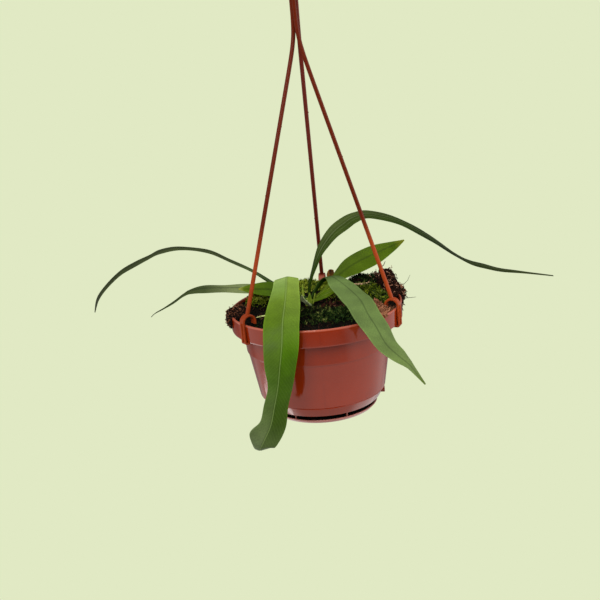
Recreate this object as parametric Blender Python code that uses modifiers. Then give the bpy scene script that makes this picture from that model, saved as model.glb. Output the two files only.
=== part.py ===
"""Anthurium vittariifolium in a hanging pot.

A young strap-leaved anthurium grows from the middle of a 14 cm plastic pot. A drip saucer snaps under the
pot, and three moulded strands carry it from a hook. Units are metres and +Z is up. The origin is the point
of the hook that rests on its support. The pot, the soil and the plant are placed in the pot's own frame,
whose origin is the centre of the rim's plane.
"""

import math

import bmesh
import bpy
from mathutils import Matrix, Vector, noise

MM = 0.001
SEAT_GAP = 0.3 * MM
TURN_STEPS = 40

# Where the pot hangs below the hook's seat. Its axis is a little to the left of the hook's plumb line
RIM_DROP = 0.296
POT_OFFSET = 0.0033
POT_CENTRE = (-POT_OFFSET, 0.0, -RIM_DROP)

# Pot, as radii of its outside and as depths below the rim
WALL = 0.0015
RIM_RADIUS = 0.0700
RIM_LOWER_RADIUS = 0.0695
RIM_DEPTH = 0.0142
BAND_RADIUS = 0.0605
BAND_LOWER_RADIUS = 0.0593
BAND_DEPTH = 0.0325
BODY_RADIUS = 0.0585
BASE_STEP_RADIUS = 0.0517
BASE_STEP_DEPTH = 0.0715
BASE_RADIUS = 0.0470
BASE_LIP_WIDTH = 0.0045
BASE_PLATE_DEPTH = 0.0785
POT_DEPTH = 0.0795
EDGE_ROUND = 0.0006
CENTRE_HOLE_RADIUS = 0.0034
DRAIN_HOLES = 6
DRAIN_HOLE_RADIUS = 0.0019
DRAIN_CIRCLE = 0.034
BASE_TABS = 3
BASE_TAB_AZIMUTH = -13
BASE_TAB_WIDTH = 0.0022
# Outline of a tab on the sloping base, as (radius, z)
BASE_TAB = ((0.0502, -0.0720), (0.0517, -0.0724), (0.0512, -0.0768), (0.0474, -0.0770))

# Saucer, snapped into the pot's centre hole by a stud
SAUCER_RADIUS = 0.0440
SAUCER_BASE_RADIUS = 0.0415
SAUCER_LIP_DEPTH = 0.0825
SAUCER_DEPTH = 0.0857
SAUCER_WALL = 0.0012
STUD_RADIUS = 0.0030
STUD_HEAD_RADIUS = 0.0042
STUD_HEAD_HEIGHT = 0.0012
STUD_ROOM = 0.0006
LUGS = 6
LUG_AZIMUTH = 40
LUG_SIZE = (0.0014, 0.0030)

# Hanger: clips over the rim, strands, boss and hook
CLIP_AZIMUTHS = {"left": 214.3, "right": 334.9, "back": 82.6}
CLIP_WIDTH = 0.0055
CLIP_THICKNESS = 0.0016
CLIP_ARCH_RADIUS = 0.0053
CLIP_ARCH_HEIGHT = 0.0015
CLIP_FOOT_LENGTH = 0.0056
CLIP_INNER_END = -0.0012
CLIP_BEND = 0.0012
RIB_SIZE = (0.0010, 0.0014)
STRAND_RADIUS = 0.00165
STRANDS_MEET = 0.2116
STRAND_HEIGHTS = (0.06, 0.12, 0.16, 0.18, 0.192, 0.2, 0.208, 0.216, 0.226, 0.236)
STRAND_BUNDLE_RADIUS = 0.00215
STRAND_BUNDLE_AZIMUTHS = {"left": 150, "right": 270, "back": 30}
STRAND_BLEND = 0.0020
STRAND_TOP = 0.2460
BOSS_RADIUS = 0.0058
BOSS_BOTTOM = -0.0540
BOSS_TOP = -0.0440
BOSS_SOCKET_DEPTH = 0.0045
BOSS_BEVEL = 0.0020
HOOK_WIRE_RADIUS = 0.0020
HOOK_BEND_RADIUS = 0.0100
# Middle of the hook's wire beside its round bend, as (x, z): from the boss up, and at the open end
HOOK_SHANK = ((0, -0.048), (0, -0.038), (0.002, -0.033), (0.0072, -0.026), (0.0096, -0.019))
HOOK_TIP = ((-0.0102, -0.013), (-0.0118, -0.0175))

# Soil, and the plant's crown in its hole
SOIL_RINGS = 8
SOIL_RADIUS = RIM_RADIUS - WALL - 0.0009
SOIL_EDGE = -0.0030
SOIL_GAP = 0.4 * MM
CROWN_CENTRE = (-0.005, 0.004)
CROWN_RADIUS = 0.0036
CROWN_TOP = 0.0045
CROWN_FOOT = -0.0085
CROWN_HOLE_GAP = 0.0007

# Humps and hollows of the soil: x, y, height and radius, in millimetres
SOIL_HUMPS = (
    (-4, 12, 1.5, 26),
    (2, 46, 3.0, 15),
    (22, -36, 2.5, 16),
    (-14, -34, 2.0, 12),
    (48, 20, 3.5, 15),
    (-48, 22, 3.0, 11),
    (-30, -10, -1.5, 12),
    (18, 8, -1.5, 11),
)
# The soil is lower under each clip: distance from the pot's axis, height and radius
CLIP_HOLLOW = (61, -2.0, 6)
# Unevenness of the soil: height, width of its grain and the layer of the noise it is read from
SOIL_ROUGH = (0.8, 7, 3.1)

# Leaves. Each row is a station of the midrib, in millimetres in the pot's frame: x, y, z, then the half
# width to the left and to the right of the midrib, seen from above towards the tip, and the blade's roll
# in degrees. "heading" is the compass direction of the leaf, anticlockwise from +X, and "fold" the
# slope of the two halves away from the upper face
LEAVES = {
    "front": {
        "heading": -90,
        "fold": 0.22,
        "wave": 0.5,
        "stations": (
            (-5.5, 2, 1.5, 1.3, 1.3, 0),
            (-10.5, -3, 7, 1.3, 1.3, 0),
            (-16, -10, 18, 2.5, 2.5, 0),
            (-19, -17, 27, 6, 6, 0),
            (-21, -28, 32, 9, 9.5, 0),
            (-22, -42, 28, 9.7, 11, 0),
            (-24, -58, 20, 11.5, 13.5, 0),
            (-27, -72, 9, 12.5, 14.5, 0),
            (-29, -80, -6, 12.7, 14, 0),
            (-32, -83, -22, 12.4, 11.5, -4),
            (-35, -84, -38, 11.8, 7.5, -8),
            (-39, -84, -53, 11, 7.8, -8),
            (-43, -85, -67, 12, 8.4, -4),
            (-49, -84, -79, 11.4, 12, 0),
            (-53, -81, -87, 10, 5.2, 0),
            (-53, -75, -90.5, 6.6, 1.8, 0),
            (-52, -69, -87, 3.8, 1.6, 0),
            (-51.5, -65, -83, 0.7, 0.7, 0),
        ),
    },
    "right": {
        "heading": -54,
        "fold": 0.1,
        "wave": 0.4,
        "stations": (
            (-3.5, 4, 2.5, 1.3, 1.3, 0),
            (1, 5, 10, 1.7, 1.7, 0),
            (8, 4, 18.5, 3.6, 3.4, 0),
            (14, 0, 21.5, 7.5, 5.8, 0),
            (21.5, -10, 18.5, 9.8, 11, 0),
            (30, -28, 14, 9.6, 13, 0),
            (34.5, -44, 11.5, 10.3, 12.8, 0),
            (38, -60, 5.5, 11.3, 12, 0),
            (42.5, -72, -1, 11.9, 11.2, 0),
            (48, -84, -11, 11, 9, 0),
            (55.5, -91, -18, 9.4, 7, 0),
            (62, -95, -23.5, 5.6, 4.4, 0),
            (65.5, -97, -27.5, 3.2, 2.8, 0),
            (73.5, -102, -38.5, 0.6, 0.6, 0),
        ),
    },
    "arch": {
        "heading": 0,
        "fold": 0.08,
        "wave": 0.4,
        "stations": (
            (-4.5, 5.5, 2, 1.4, 1.4, 0),
            (-3.5, 8, 14, 1.5, 1.5, 10),
            (1.2, 9, 27.3, 2.8, 3, 32),
            (6.2, 9.6, 38.5, 4.2, 3.4, 42),
            (11.4, 11.4, 46.2, 5.4, 4.6, 44),
            (19, 12.4, 54.6, 6.6, 5.7, 42),
            (27.5, 13.4, 60.5, 7.6, 6.8, 32),
            (37.2, 13.6, 65.7, 8, 8, 16),
            (50, 12, 67.6, 8, 8, 8),
            (73, 8, 60.4, 8, 8, 8),
            (96.5, 4, 45.6, 8, 8, 9),
            (115, 1, 31.1, 7, 7, 0),
            (127, 0, 23.5, 6.2, 6.2, 0),
            (139, 0, 18.9, 5.6, 5.6, 0),
            (151, 0, 14.7, 4.3, 4.3, 2),
            (167, 0, 11.3, 3, 3, 2),
            (194, 0, 5.4, 1, 1, 4),
        ),
    },
    "back": {
        "heading": 30,
        "fold": 0.12,
        "wave": 0.3,
        "stations": (
            (-3.5, 5.5, 1.2, 1.3, 1.3, 0),
            (6, 13, 5.5, 1.3, 1.3, 10),
            (13.5, 20, 10, 2, 2, 30),
            (24, 28, 16.2, 5.6, 6, 40),
            (36, 36, 21, 8.9, 9.3, 40),
            (54, 44, 26, 8.8, 8.8, 40),
            (70, 50, 30, 4.5, 4.5, 40),
            (80.5, 54, 33, 0.6, 0.6, 40),
        ),
    },
    "left_long": {
        "heading": 180,
        "fold": 0.08,
        "wave": 0.3,
        "stations": (
            (-7, 6, 3.5, 1.3, 1.3, 0),
            (-20, 10, 9.5, 1.4, 1.4, 0),
            (-31.5, 9, 16.5, 1.8, 1.8, 0),
            (-49, 6, 31, 3.4, 3.4, 0),
            (-66, 4, 42, 5.5, 5.5, 0),
            (-82, 0, 52, 6, 6, 0),
            (-103.5, -4, 57.5, 5.5, 5.5, 0),
            (-119, -7, 57, 5.6, 5.6, -3),
            (-129, -9, 53.6, 5.5, 5.5, -1),
            (-140.5, -11, 49.3, 5.6, 5.6, -5),
            (-152, -13, 44, 5.7, 5.7, -8),
            (-164, -15, 34.5, 5, 5, -11),
            (-172, -16, 25, 3.4, 3.4, -22),
            (-175.5, -17, 14.5, 0.6, 0.6, -26),
        ),
    },
    "left_mid": {
        "heading": 175,
        "fold": 0.1,
        "wave": 0.3,
        "stations": (
            (-6, 5.5, 0.8, 1.3, 1.3, 0),
            (-20, 14, 5.5, 1.3, 1.3, 0),
            (-36, 19, 9.5, 3, 3, -15),
            (-52, 20, 12.5, 6.5, 6.5, -18),
            (-73, 19, 14.8, 6.6, 6.6, -12),
            (-89.5, 17, 16.5, 7, 7, -12),
            (-101, 14, 16.2, 6, 6, -6),
            (-107.5, 12, 14.2, 4.8, 4.8, -4),
            (-116, 10, 9.3, 3.4, 3.4, -3),
            (-124.5, 8, 5.3, 2.4, 2.4, 0),
            (-131.5, 7, 2.2, 1.4, 1.4, 0),
            (-135, 6, -0.5, 0.6, 0.6, 0),
        ),
    },
    "left_young": {
        "heading": 187,
        "fold": -0.15,
        "wave": 0.2,
        "stations": (
            (-7, 3.5, 2.2, 1.3, 1.3, 0),
            (-20, 2, 9, 1.6, 1.6, -30),
            (-33.5, 1, 14.5, 6.3, 6.3, -45),
            (-48, -1, 17, 4.8, 4.8, -45),
            (-61, -3, 19, 0.6, 0.6, -45),
        ),
    },
    "new": {
        "heading": -12,
        "fold": -0.25,
        "wave": 0.0,
        "stations": (
            (-3.5, 3, 1, 1.2, 1.2, 0),
            (2, 1.5, 3.5, 2.2, 2.2, 35),
            (9, 1, 6.5, 3.4, 3.4, 40),
            (17, 0, 10.3, 2.6, 2.6, 40),
            (22.5, -1, 12.6, 0.6, 0.6, 40),
        ),
    },
}
CATAPHYLL = {
    "heading": -120,
    "fold": 0.5,
    "wave": 0.0,
    "stations": (
        (-4.6, -1, -0.4, 1.5, 1.5, 0),
        (-7.2, -5.2, 3, 2.2, 2.2, 0),
        (-9.6, -8, 7.5, 2.2, 2.2, 0),
        (-10.4, -9.2, 10.5, 0.7, 0.7, 0),
    ),
}
BLADE_THICKNESS = 0.0008
PETIOLE_THICKNESS = 0.0024
MIDRIB_HEIGHT = 0.0005
MIDRIB_WIDTH = 0.0012
BLADE_BEGINS = 0.0016
BLADE_FULL = 0.0050
# Ripple of the blade's edges, in radians to the metre, and how full the petiole is at its edges
WAVE_RATE = 55
PETIOLE_EDGE = 0.08
# Cross-sections to each span between two stations, and faces across each side of the leaf
SECTIONS = 3
ACROSS = 4

# Lumps on the soil, in millimetres: centre, radii, roughness
LUMPS = {
    "coir_clump_right": (
        ((43, 42, 1), (14, 9.5, 7), 1.6),
        ((60, 30, 3), (10.5, 12, 12), 1.8),
        ((65.5, 17, -3), (8.8, 14, 10), 1.6),
    ),
    "coir_clump_left": (
        ((-62.5, -5, -1), (6.5, 13, 6.5), 1.4),
        ((-66.3, -9, -3), (6.8, 10, 9.5), 1.2),
    ),
    "coir_clump_front": (
        ((46, -23, -1.5), (5.5, 10.5, 5), 1.0),
        ((48.5, -39, -1), (7.5, 10, 5.5), 1.2),
    ),
    "moss_back": (
        ((-7, 51, -1), (13, 15, 4.5), 0.7),
        ((11, 45, -1), (11, 9.5, 4.5), 0.7),
    ),
    "moss_right": (
        ((42, 12, 0), (12.5, 13.5, 8), 0.8),
        ((51, 1, -1.5), (8, 11, 5), 0.8),
    ),
    "moss_front": (((20, -36, -2), (19, 13, 4.5), 0.9),),
    "moss_left": (((-48, 24, -1), (8, 9, 5), 0.7),),
    "bark_chip": (((16.2, 61, 4.5), (3.7, 3.4, 7.2), 0.5),),
}
# Widths of the lumps' coarse and fine unevenness, in millimetres
LUMP_GRAIN = 5
LUMP_FINE_GRAIN = 2.3
# Bars on the soil, in millimetres: points and the radius at each
TWIG = (((35, 21, 7.4), (40, 20.6, 7.0), (45, 20, 5.8), (49, 20, 4.8)), (0.7, 1, 0.9, 0.5))
ROOT_TIP = (((-37, -14, -4), (-41, -16, -1.5), (-45, -17.5, -1), (-49, -19, -1.5)), (0.9, 0.9, 0.7, 0.4))

COLOURS = {
    "terracotta_plastic": ((0.25, 0.043, 0.024), 0.28),
    "hanger_plastic": ((0.24, 0.035, 0.015), 0.38),
    "peat": ((0.012, 0.008, 0.005), 0.95),
    "coir_dark": ((0.045, 0.022, 0.012), 0.95),
    "coir_light": ((0.16, 0.075, 0.03), 0.95),
    "moss": ((0.05, 0.11, 0.012), 0.9),
    "bark": ((0.13, 0.05, 0.015), 0.8),
    "leaf": ((0.07, 0.16, 0.02), 0.45),
    "leaf_dark": ((0.03, 0.07, 0.02), 0.45),
    "crown": ((0.16, 0.28, 0.05), 0.5),
    "papery": ((0.42, 0.42, 0.3), 0.7),
}


def clear_scene():
    for obj in list(bpy.data.objects):
        bpy.data.objects.remove(obj, do_unlink=True)


def collection(name):
    made = bpy.data.collections.new(name)
    bpy.context.scene.collection.children.link(made)
    return made


def material(name):
    colour, roughness = COLOURS[name]
    made = bpy.data.materials.get(name) or bpy.data.materials.new(name)
    made.use_nodes = True
    shader = made.node_tree.nodes["Principled BSDF"]
    shader.inputs["Base Color"].default_value = (*colour, 1)
    shader.inputs["Roughness"].default_value = roughness
    shader.inputs["Metallic"].default_value = 0
    return made


def place(name, data, parent=None, location=(0, 0, 0), rotation=(0, 0, 0)):
    """A new object of the part, at its place in its parent's frame."""
    obj = bpy.data.objects.new(name, data)
    part.objects.link(obj)
    obj.parent = parent
    obj.location = location
    obj.rotation_euler = rotation
    bpy.context.view_layer.update()
    return obj


def finished(obj, colour):
    """The object in its material, shaded smooth with its sharp edges kept."""
    obj.data.materials.clear()
    obj.data.materials.append(material(colour))
    obj.data.shade_smooth()
    obj.data.set_sharp_from_angle(angle=math.radians(35))
    return obj


def as_mesh(obj):
    """The object with its modifiers applied and loose caps welded, as a closed mesh facing outwards."""
    bpy.context.view_layer.update()
    graph = bpy.context.evaluated_depsgraph_get()
    mesh = bpy.data.meshes.new_from_object(obj.evaluated_get(graph))
    bm = bmesh.new()
    bm.from_mesh(mesh)
    bmesh.ops.remove_doubles(bm, verts=bm.verts, dist=0.01 * MM)
    bmesh.ops.recalc_face_normals(bm, faces=bm.faces)
    bm.to_mesh(mesh)
    bm.free()
    name, parent, matrix = obj.name, obj.parent, obj.matrix_world.copy()
    bpy.data.objects.remove(obj)
    made = place(name, mesh, parent)
    made.matrix_world = matrix
    bpy.context.view_layer.update()
    return made


def boolean(obj, other, operation):
    """The object joined with the other or cut by it. The other object is used up."""
    modifier = obj.modifiers.new(operation.lower(), "BOOLEAN")
    modifier.operation = operation
    modifier.object = other
    result = as_mesh(obj)
    bpy.data.objects.remove(other)
    return result


def cut(obj, cutter):
    return boolean(obj, cutter, "DIFFERENCE")


def join(obj, other):
    return boolean(obj, other, "UNION")


def copy_of(obj):
    twin = place(obj.name + "_copy", obj.data.copy(), obj.parent)
    twin.matrix_world = obj.matrix_world
    bpy.context.view_layer.update()
    return twin


def turned(name, profile, parent, closed=False):
    """A solid turned from (radius, z) points, listed down the outside."""
    bm = bmesh.new()
    points = [bm.verts.new((radius, 0, z)) for radius, z in profile]
    for first, second in zip(points, points[1:]):
        bm.edges.new((first, second))
    if closed:
        bm.edges.new((points[-1], points[0]))
    mesh = bpy.data.meshes.new(name)
    bm.to_mesh(mesh)
    bm.free()
    obj = place(name, mesh, parent)
    screw = obj.modifiers.new("turn", "SCREW")
    screw.steps = screw.render_steps = TURN_STEPS
    screw.use_merge_vertices = True
    screw.merge_threshold = 0.01 * MM
    return as_mesh(obj)


def tube(name, points, radius, parent=None, resolution=2, taper=None):
    """A round bar along the points. taper scales its radius at each point."""
    curve = bpy.data.curves.new(name, "CURVE")
    curve.dimensions = "3D"
    curve.bevel_depth = radius
    curve.bevel_resolution = resolution
    curve.use_fill_caps = True
    spline = curve.splines.new("POLY")
    spline.points.add(len(points) - 1)
    for index, point in enumerate(points):
        spline.points[index].co = (*point, 1)
        spline.points[index].radius = taper[index] if taper else 1
    return as_mesh(place(name, curve, parent))


def plate(name, outline, thickness, parent, rotation):
    """A flat outline, in its own X and Y, extruded to both sides."""
    curve = bpy.data.curves.new(name, "CURVE")
    curve.dimensions = "2D"
    curve.fill_mode = "BOTH"
    curve.extrude = thickness / 2
    spline = curve.splines.new("POLY")
    spline.points.add(len(outline) - 1)
    spline.use_cyclic_u = True
    for index, (x, y) in enumerate(outline):
        spline.points[index].co = (x, y, 0, 1)
    return as_mesh(place(name, curve, parent, rotation=rotation))


def block(name, size, parent, centre, azimuth=0.0):
    """A box whose centre stands at (radius, z) in the direction of the azimuth."""
    bm = bmesh.new()
    bmesh.ops.create_cube(bm, size=1, matrix=Matrix.Diagonal((*size, 1)))
    mesh = bpy.data.meshes.new(name)
    bm.to_mesh(mesh)
    bm.free()
    radius, z = centre
    location = (radius * math.cos(azimuth), radius * math.sin(azimuth), z)
    return place(name, mesh, parent, location, (0, 0, azimuth))


def cylinder(name, radius, bottom, top, parent, centre=(0, 0), sides=20):
    bm = bmesh.new()
    bmesh.ops.create_cone(
        bm, cap_ends=True, segments=sides, radius1=radius, radius2=radius, depth=top - bottom
    )
    mesh = bpy.data.meshes.new(name)
    bm.to_mesh(mesh)
    bm.free()
    return place(name, mesh, parent, (*centre, (top + bottom) / 2))


def make_pot():
    profile = (
        (RIM_RADIUS - EDGE_ROUND, 0),
        (RIM_RADIUS, -EDGE_ROUND),
        (RIM_LOWER_RADIUS, -RIM_DEPTH),
        (BAND_RADIUS, -RIM_DEPTH),
        (BAND_LOWER_RADIUS, -BAND_DEPTH),
        (BODY_RADIUS, -BAND_DEPTH),
        (BASE_STEP_RADIUS, -BASE_STEP_DEPTH),
        (BASE_STEP_RADIUS - EDGE_ROUND, -BASE_STEP_DEPTH - EDGE_ROUND),
        (BASE_RADIUS, -POT_DEPTH + EDGE_ROUND),
        (BASE_RADIUS - EDGE_ROUND, -POT_DEPTH),
        (BASE_RADIUS - BASE_LIP_WIDTH, -POT_DEPTH),
        (BASE_RADIUS - BASE_LIP_WIDTH, -BASE_PLATE_DEPTH),
        (CENTRE_HOLE_RADIUS, -BASE_PLATE_DEPTH),
        (CENTRE_HOLE_RADIUS, -BASE_PLATE_DEPTH + WALL),
        (BASE_RADIUS - WALL, -BASE_PLATE_DEPTH + WALL),
        (BASE_STEP_RADIUS - WALL, -BASE_STEP_DEPTH + WALL),
        (BODY_RADIUS - WALL, -BAND_DEPTH - WALL / 2),
        (BAND_LOWER_RADIUS - WALL, -BAND_DEPTH + WALL / 2),
        (BAND_RADIUS - WALL, -RIM_DEPTH + WALL),
        (RIM_LOWER_RADIUS - WALL, -RIM_DEPTH + WALL),
        (RIM_RADIUS - WALL, -EDGE_ROUND / 2),
        (RIM_RADIUS - WALL + EDGE_ROUND / 2, 0),
    )
    pot = turned("pot", profile, pot_frame, closed=True)
    for index in range(DRAIN_HOLES):
        angle = math.radians(360 / DRAIN_HOLES * (index + 0.5))
        centre = (DRAIN_CIRCLE * math.cos(angle), DRAIN_CIRCLE * math.sin(angle))
        drill = cylinder("drill", DRAIN_HOLE_RADIUS, -POT_DEPTH, -BASE_STEP_DEPTH, pot_frame, centre, 10)
        pot = cut(pot, drill)
    for index in range(BASE_TABS):
        azimuth = math.radians(BASE_TAB_AZIMUTH + 360 / BASE_TABS * index)
        tab = plate("tab", BASE_TAB, BASE_TAB_WIDTH, pot_frame, (math.pi / 2, 0, azimuth))
        pot = join(pot, tab)
    return finished(pot, "terracotta_plastic")


def make_saucer():
    """The drip saucer, with the stud that snaps into the pot's centre hole and lugs under its base lip."""
    floor = -SAUCER_DEPTH + SAUCER_WALL
    head_bottom = -BASE_PLATE_DEPTH + WALL + SEAT_GAP
    head_top = head_bottom + STUD_HEAD_HEIGHT
    profile = (
        (0, head_top),
        (STUD_HEAD_RADIUS - EDGE_ROUND, head_top),
        (STUD_HEAD_RADIUS, head_top - EDGE_ROUND),
        (STUD_HEAD_RADIUS, head_bottom),
        (STUD_RADIUS, head_bottom),
        (STUD_RADIUS, floor),
        (SAUCER_BASE_RADIUS - SAUCER_WALL, floor),
        (SAUCER_RADIUS - SAUCER_WALL, -SAUCER_LIP_DEPTH),
        (SAUCER_RADIUS, -SAUCER_LIP_DEPTH),
        (SAUCER_RADIUS, -SAUCER_LIP_DEPTH - EDGE_ROUND),
        (SAUCER_BASE_RADIUS, -SAUCER_DEPTH),
        (0, -SAUCER_DEPTH),
    )
    saucer = turned("saucer", profile, pot_frame)
    top = -POT_DEPTH - SEAT_GAP
    bottom = -SAUCER_LIP_DEPTH - SAUCER_WALL
    for index in range(LUGS):
        azimuth = math.radians(LUG_AZIMUTH + 360 / LUGS * index)
        size = (*LUG_SIZE, top - bottom)
        centre = (SAUCER_RADIUS - LUG_SIZE[0] / 2, (top + bottom) / 2)
        saucer = join(saucer, block("lug", size, pot_frame, centre, azimuth))
    return finished(saucer, "terracotta_plastic")


def arc(centre, radius, start, end, steps):
    for step in range(steps + 1):
        angle = math.radians(start + (end - start) * step / steps)
        yield centre[0] + radius * math.cos(angle), centre[1] + radius * math.sin(angle)


def strip_outline(line, thickness):
    """The closed outline of a strip that is bent along a line in a plane."""
    sides = ([], [])
    for index, point in enumerate(line):
        before = Vector(line[max(index - 1, 0)])
        after = Vector(line[min(index + 1, len(line) - 1)])
        along = (after - before).normalized()
        across = Vector((-along.y, along.x)) * thickness / 2
        sides[0].append(tuple(Vector(point) + across))
        sides[1].append(tuple(Vector(point) - across))
    return sides[0] + sides[1][::-1]


def clip_line():
    """The middle of the clip's strip as (radius, height): foot, outer leg, arch over the rim, inner leg."""
    leg = RIM_RADIUS + SEAT_GAP + CLIP_THICKNESS / 2
    foot = -RIM_DEPTH - SEAT_GAP - CLIP_THICKNESS / 2
    arch_centre = (leg - CLIP_ARCH_RADIUS, CLIP_ARCH_HEIGHT)
    line = [(leg - CLIP_FOOT_LENGTH, foot)]
    line += arc((leg - CLIP_BEND, foot + CLIP_BEND), CLIP_BEND, -90, 0, 3)
    line += arc(arch_centre, CLIP_ARCH_RADIUS, 0, 180, 10)
    line.append((leg - 2 * CLIP_ARCH_RADIUS, CLIP_INNER_END))
    return line


def strand_points(side):
    """The strand's middle, straight from its clip until it bends into its place in the bundle."""
    azimuth = math.radians(CLIP_AZIMUTHS[side])
    turn = math.radians(STRAND_BUNDLE_AZIMUTHS[side])
    in_bundle = Vector((math.cos(turn), math.sin(turn))) * STRAND_BUNDLE_RADIUS
    radius = RIM_RADIUS + SEAT_GAP + CLIP_THICKNESS / 2 - CLIP_ARCH_RADIUS
    bottom = CLIP_ARCH_HEIGHT + CLIP_ARCH_RADIUS
    axis = Vector((POT_OFFSET, 0))
    foot = Vector((radius * math.cos(azimuth), radius * math.sin(azimuth)))
    reach = (foot - axis).length
    outwards = (foot - axis).normalized()
    points = []
    for height in (bottom, *STRAND_HEIGHTS, STRAND_TOP):
        straight = reach * (STRANDS_MEET - height) / (STRANDS_MEET - bottom)
        bent = STRAND_BLEND * math.log1p(math.exp(straight / STRAND_BLEND))
        share = (height - bottom) / (STRAND_TOP - bottom)
        points.append((*(axis + outwards * bent + in_bundle * share), height))
    return points


def make_strand(side):
    azimuth = math.radians(CLIP_AZIMUTHS[side])
    strand = tube("hanger_strand_" + side, strand_points(side), STRAND_RADIUS, pot_frame)
    outline = strip_outline(clip_line(), CLIP_THICKNESS)
    clip = plate("clip", outline, CLIP_WIDTH, pot_frame, (math.pi / 2, 0, azimuth))
    leg_outside = RIM_RADIUS + SEAT_GAP + CLIP_THICKNESS
    rib_top = CLIP_ARCH_HEIGHT
    rib_bottom = -RIM_DEPTH
    rib_size = (2 * RIB_SIZE[0], RIB_SIZE[1], rib_top - rib_bottom)
    rib = block("rib", rib_size, pot_frame, (leg_outside, (rib_top + rib_bottom) / 2), azimuth)
    strand = join(strand, join(clip, rib))
    return finished(strand, "hanger_plastic")


def make_hook():
    """Boss with a socket for the strands, and the hook above it. Its seat is at the origin."""
    bend_height = HOOK_WIRE_RADIUS - HOOK_BEND_RADIUS
    bend = arc((0, bend_height), HOOK_BEND_RADIUS, 0, 180, 12)
    line = [(x, 0, z) for x, z in (*HOOK_SHANK, *bend, *HOOK_TIP)]
    hook = tube("hanger_hook", line, HOOK_WIRE_RADIUS, resolution=3)
    boss_profile = (
        (0, BOSS_TOP),
        (BOSS_RADIUS - BOSS_BEVEL, BOSS_TOP),
        (BOSS_RADIUS, BOSS_TOP - BOSS_BEVEL),
        (BOSS_RADIUS, BOSS_BOTTOM),
        (0, BOSS_BOTTOM),
    )
    boss = turned("boss", boss_profile, None)
    socket_radius = STRAND_BUNDLE_RADIUS + STRAND_RADIUS + SEAT_GAP
    socket_top = BOSS_BOTTOM + BOSS_SOCKET_DEPTH
    socket = cylinder("socket", socket_radius, BOSS_BOTTOM - BOSS_BEVEL, socket_top, None, sides=24)
    return finished(join(hook, cut(boss, socket)), "hanger_plastic")


def soil_height(x, y):
    """Height of the soil at a place in the pot's frame, in metres."""
    x, y = x / MM, y / MM
    height = 0.0
    for hump_x, hump_y, rise, radius in SOIL_HUMPS:
        height += rise * math.exp(-((x - hump_x) ** 2 + (y - hump_y) ** 2) / radius**2)
    distance, rise, radius = CLIP_HOLLOW
    for degrees in CLIP_AZIMUTHS.values():
        angle = math.radians(degrees)
        hollow_x, hollow_y = distance * math.cos(angle), distance * math.sin(angle)
        height += rise * math.exp(-((x - hollow_x) ** 2 + (y - hollow_y) ** 2) / radius**2)
    rise, grain, layer = SOIL_ROUGH
    height += rise * noise.noise(Vector((x / grain, y / grain, layer)))
    return SOIL_EDGE + height * MM


def ground(name, lift, side):
    """The filling of the pot with its uneven top raised by lift. side is its wall, top to bottom."""
    tops = [(SOIL_RADIUS * ring / SOIL_RINGS, 0) for ring in range(SOIL_RINGS + 1)]
    obj = turned(name, (*tops, *side), pot_frame)
    for vertex in obj.data.vertices:
        x, y, z = vertex.co
        if abs(z) < 0.01 * MM and math.hypot(x, y) < SOIL_RADIUS + 0.01 * MM:
            vertex.co.z = soil_height(x, y) + lift
    bm = bmesh.new()
    bm.from_mesh(obj.data)
    bmesh.ops.triangulate(bm, faces=bm.faces, quad_method="FIXED")
    bm.to_mesh(obj.data)
    bm.free()
    return obj


def make_soil():
    inside = WALL + SOIL_GAP
    base = -BASE_PLATE_DEPTH + inside
    stud_room = STUD_HEAD_RADIUS + STUD_ROOM
    stud_top = base + STUD_HEAD_HEIGHT + STUD_ROOM
    side = (
        (SOIL_RADIUS, -RIM_DEPTH + inside),
        (BAND_RADIUS - inside, -RIM_DEPTH + inside),
        (BAND_LOWER_RADIUS - inside, -BAND_DEPTH + WALL / 2),
        (BODY_RADIUS - inside, -BAND_DEPTH - WALL / 2),
        (BASE_STEP_RADIUS - inside, -BASE_STEP_DEPTH + WALL),
        (BASE_RADIUS - inside, base),
        (stud_room, base),
        (stud_room, stud_top),
        (0, stud_top),
    )
    soil = ground("soil", 0, side)
    hole_radius = CROWN_RADIUS + CROWN_HOLE_GAP
    hole = cylinder("crown_hole", hole_radius, CROWN_FOOT - SEAT_GAP, CROWN_TOP, pot_frame, CROWN_CENTRE)
    return finished(cut(soil, hole), "peat")


def make_clearance():
    """What a lump on the soil keeps clear of: the soil and the rim, each with a small gap round it."""
    side = (
        (SOIL_RADIUS + SEAT_GAP, SOIL_GAP),
        (RIM_RADIUS + SOIL_GAP, SOIL_GAP),
        (RIM_RADIUS + SOIL_GAP, -RIM_DEPTH - SOIL_GAP),
        (0, -RIM_DEPTH - SOIL_GAP),
    )
    return ground("clearance", SOIL_GAP, side)


def lump(name, centre, radii, roughness):
    """A rough rounded lump, in millimetres."""
    bm = bmesh.new()
    bmesh.ops.create_icosphere(bm, subdivisions=3, radius=1)
    for vertex in bm.verts:
        out = vertex.co.copy()
        smooth = Vector([c + r * n for c, r, n in zip(centre, radii, out)])
        rough = noise.noise(smooth / LUMP_GRAIN) + 0.5 * noise.noise(smooth / LUMP_FINE_GRAIN)
        vertex.co = (smooth + out * roughness * rough) * MM
    mesh = bpy.data.meshes.new(name)
    bm.to_mesh(mesh)
    bm.free()
    return place(name, mesh, pot_frame)


def without_crumbs(obj):
    """The object's biggest body alone. Crumbs that a cut left beside it are dropped."""
    bm = bmesh.new()
    bm.from_mesh(obj.data)
    left = set(bm.verts)
    bodies = []
    while left:
        body = {left.pop()}
        edge = list(body)
        while edge:
            near = {linked.other_vert(vertex) for vertex in edge for linked in vertex.link_edges}
            edge = list(near - body)
            body |= near
        left -= body
        bodies.append(body)
    biggest = max(bodies, key=len)
    crumbs = [vertex for vertex in bm.verts if vertex not in biggest]
    bmesh.ops.delete(bm, geom=crumbs, context="VERTS")
    bm.to_mesh(obj.data)
    bm.free()
    return obj


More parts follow.
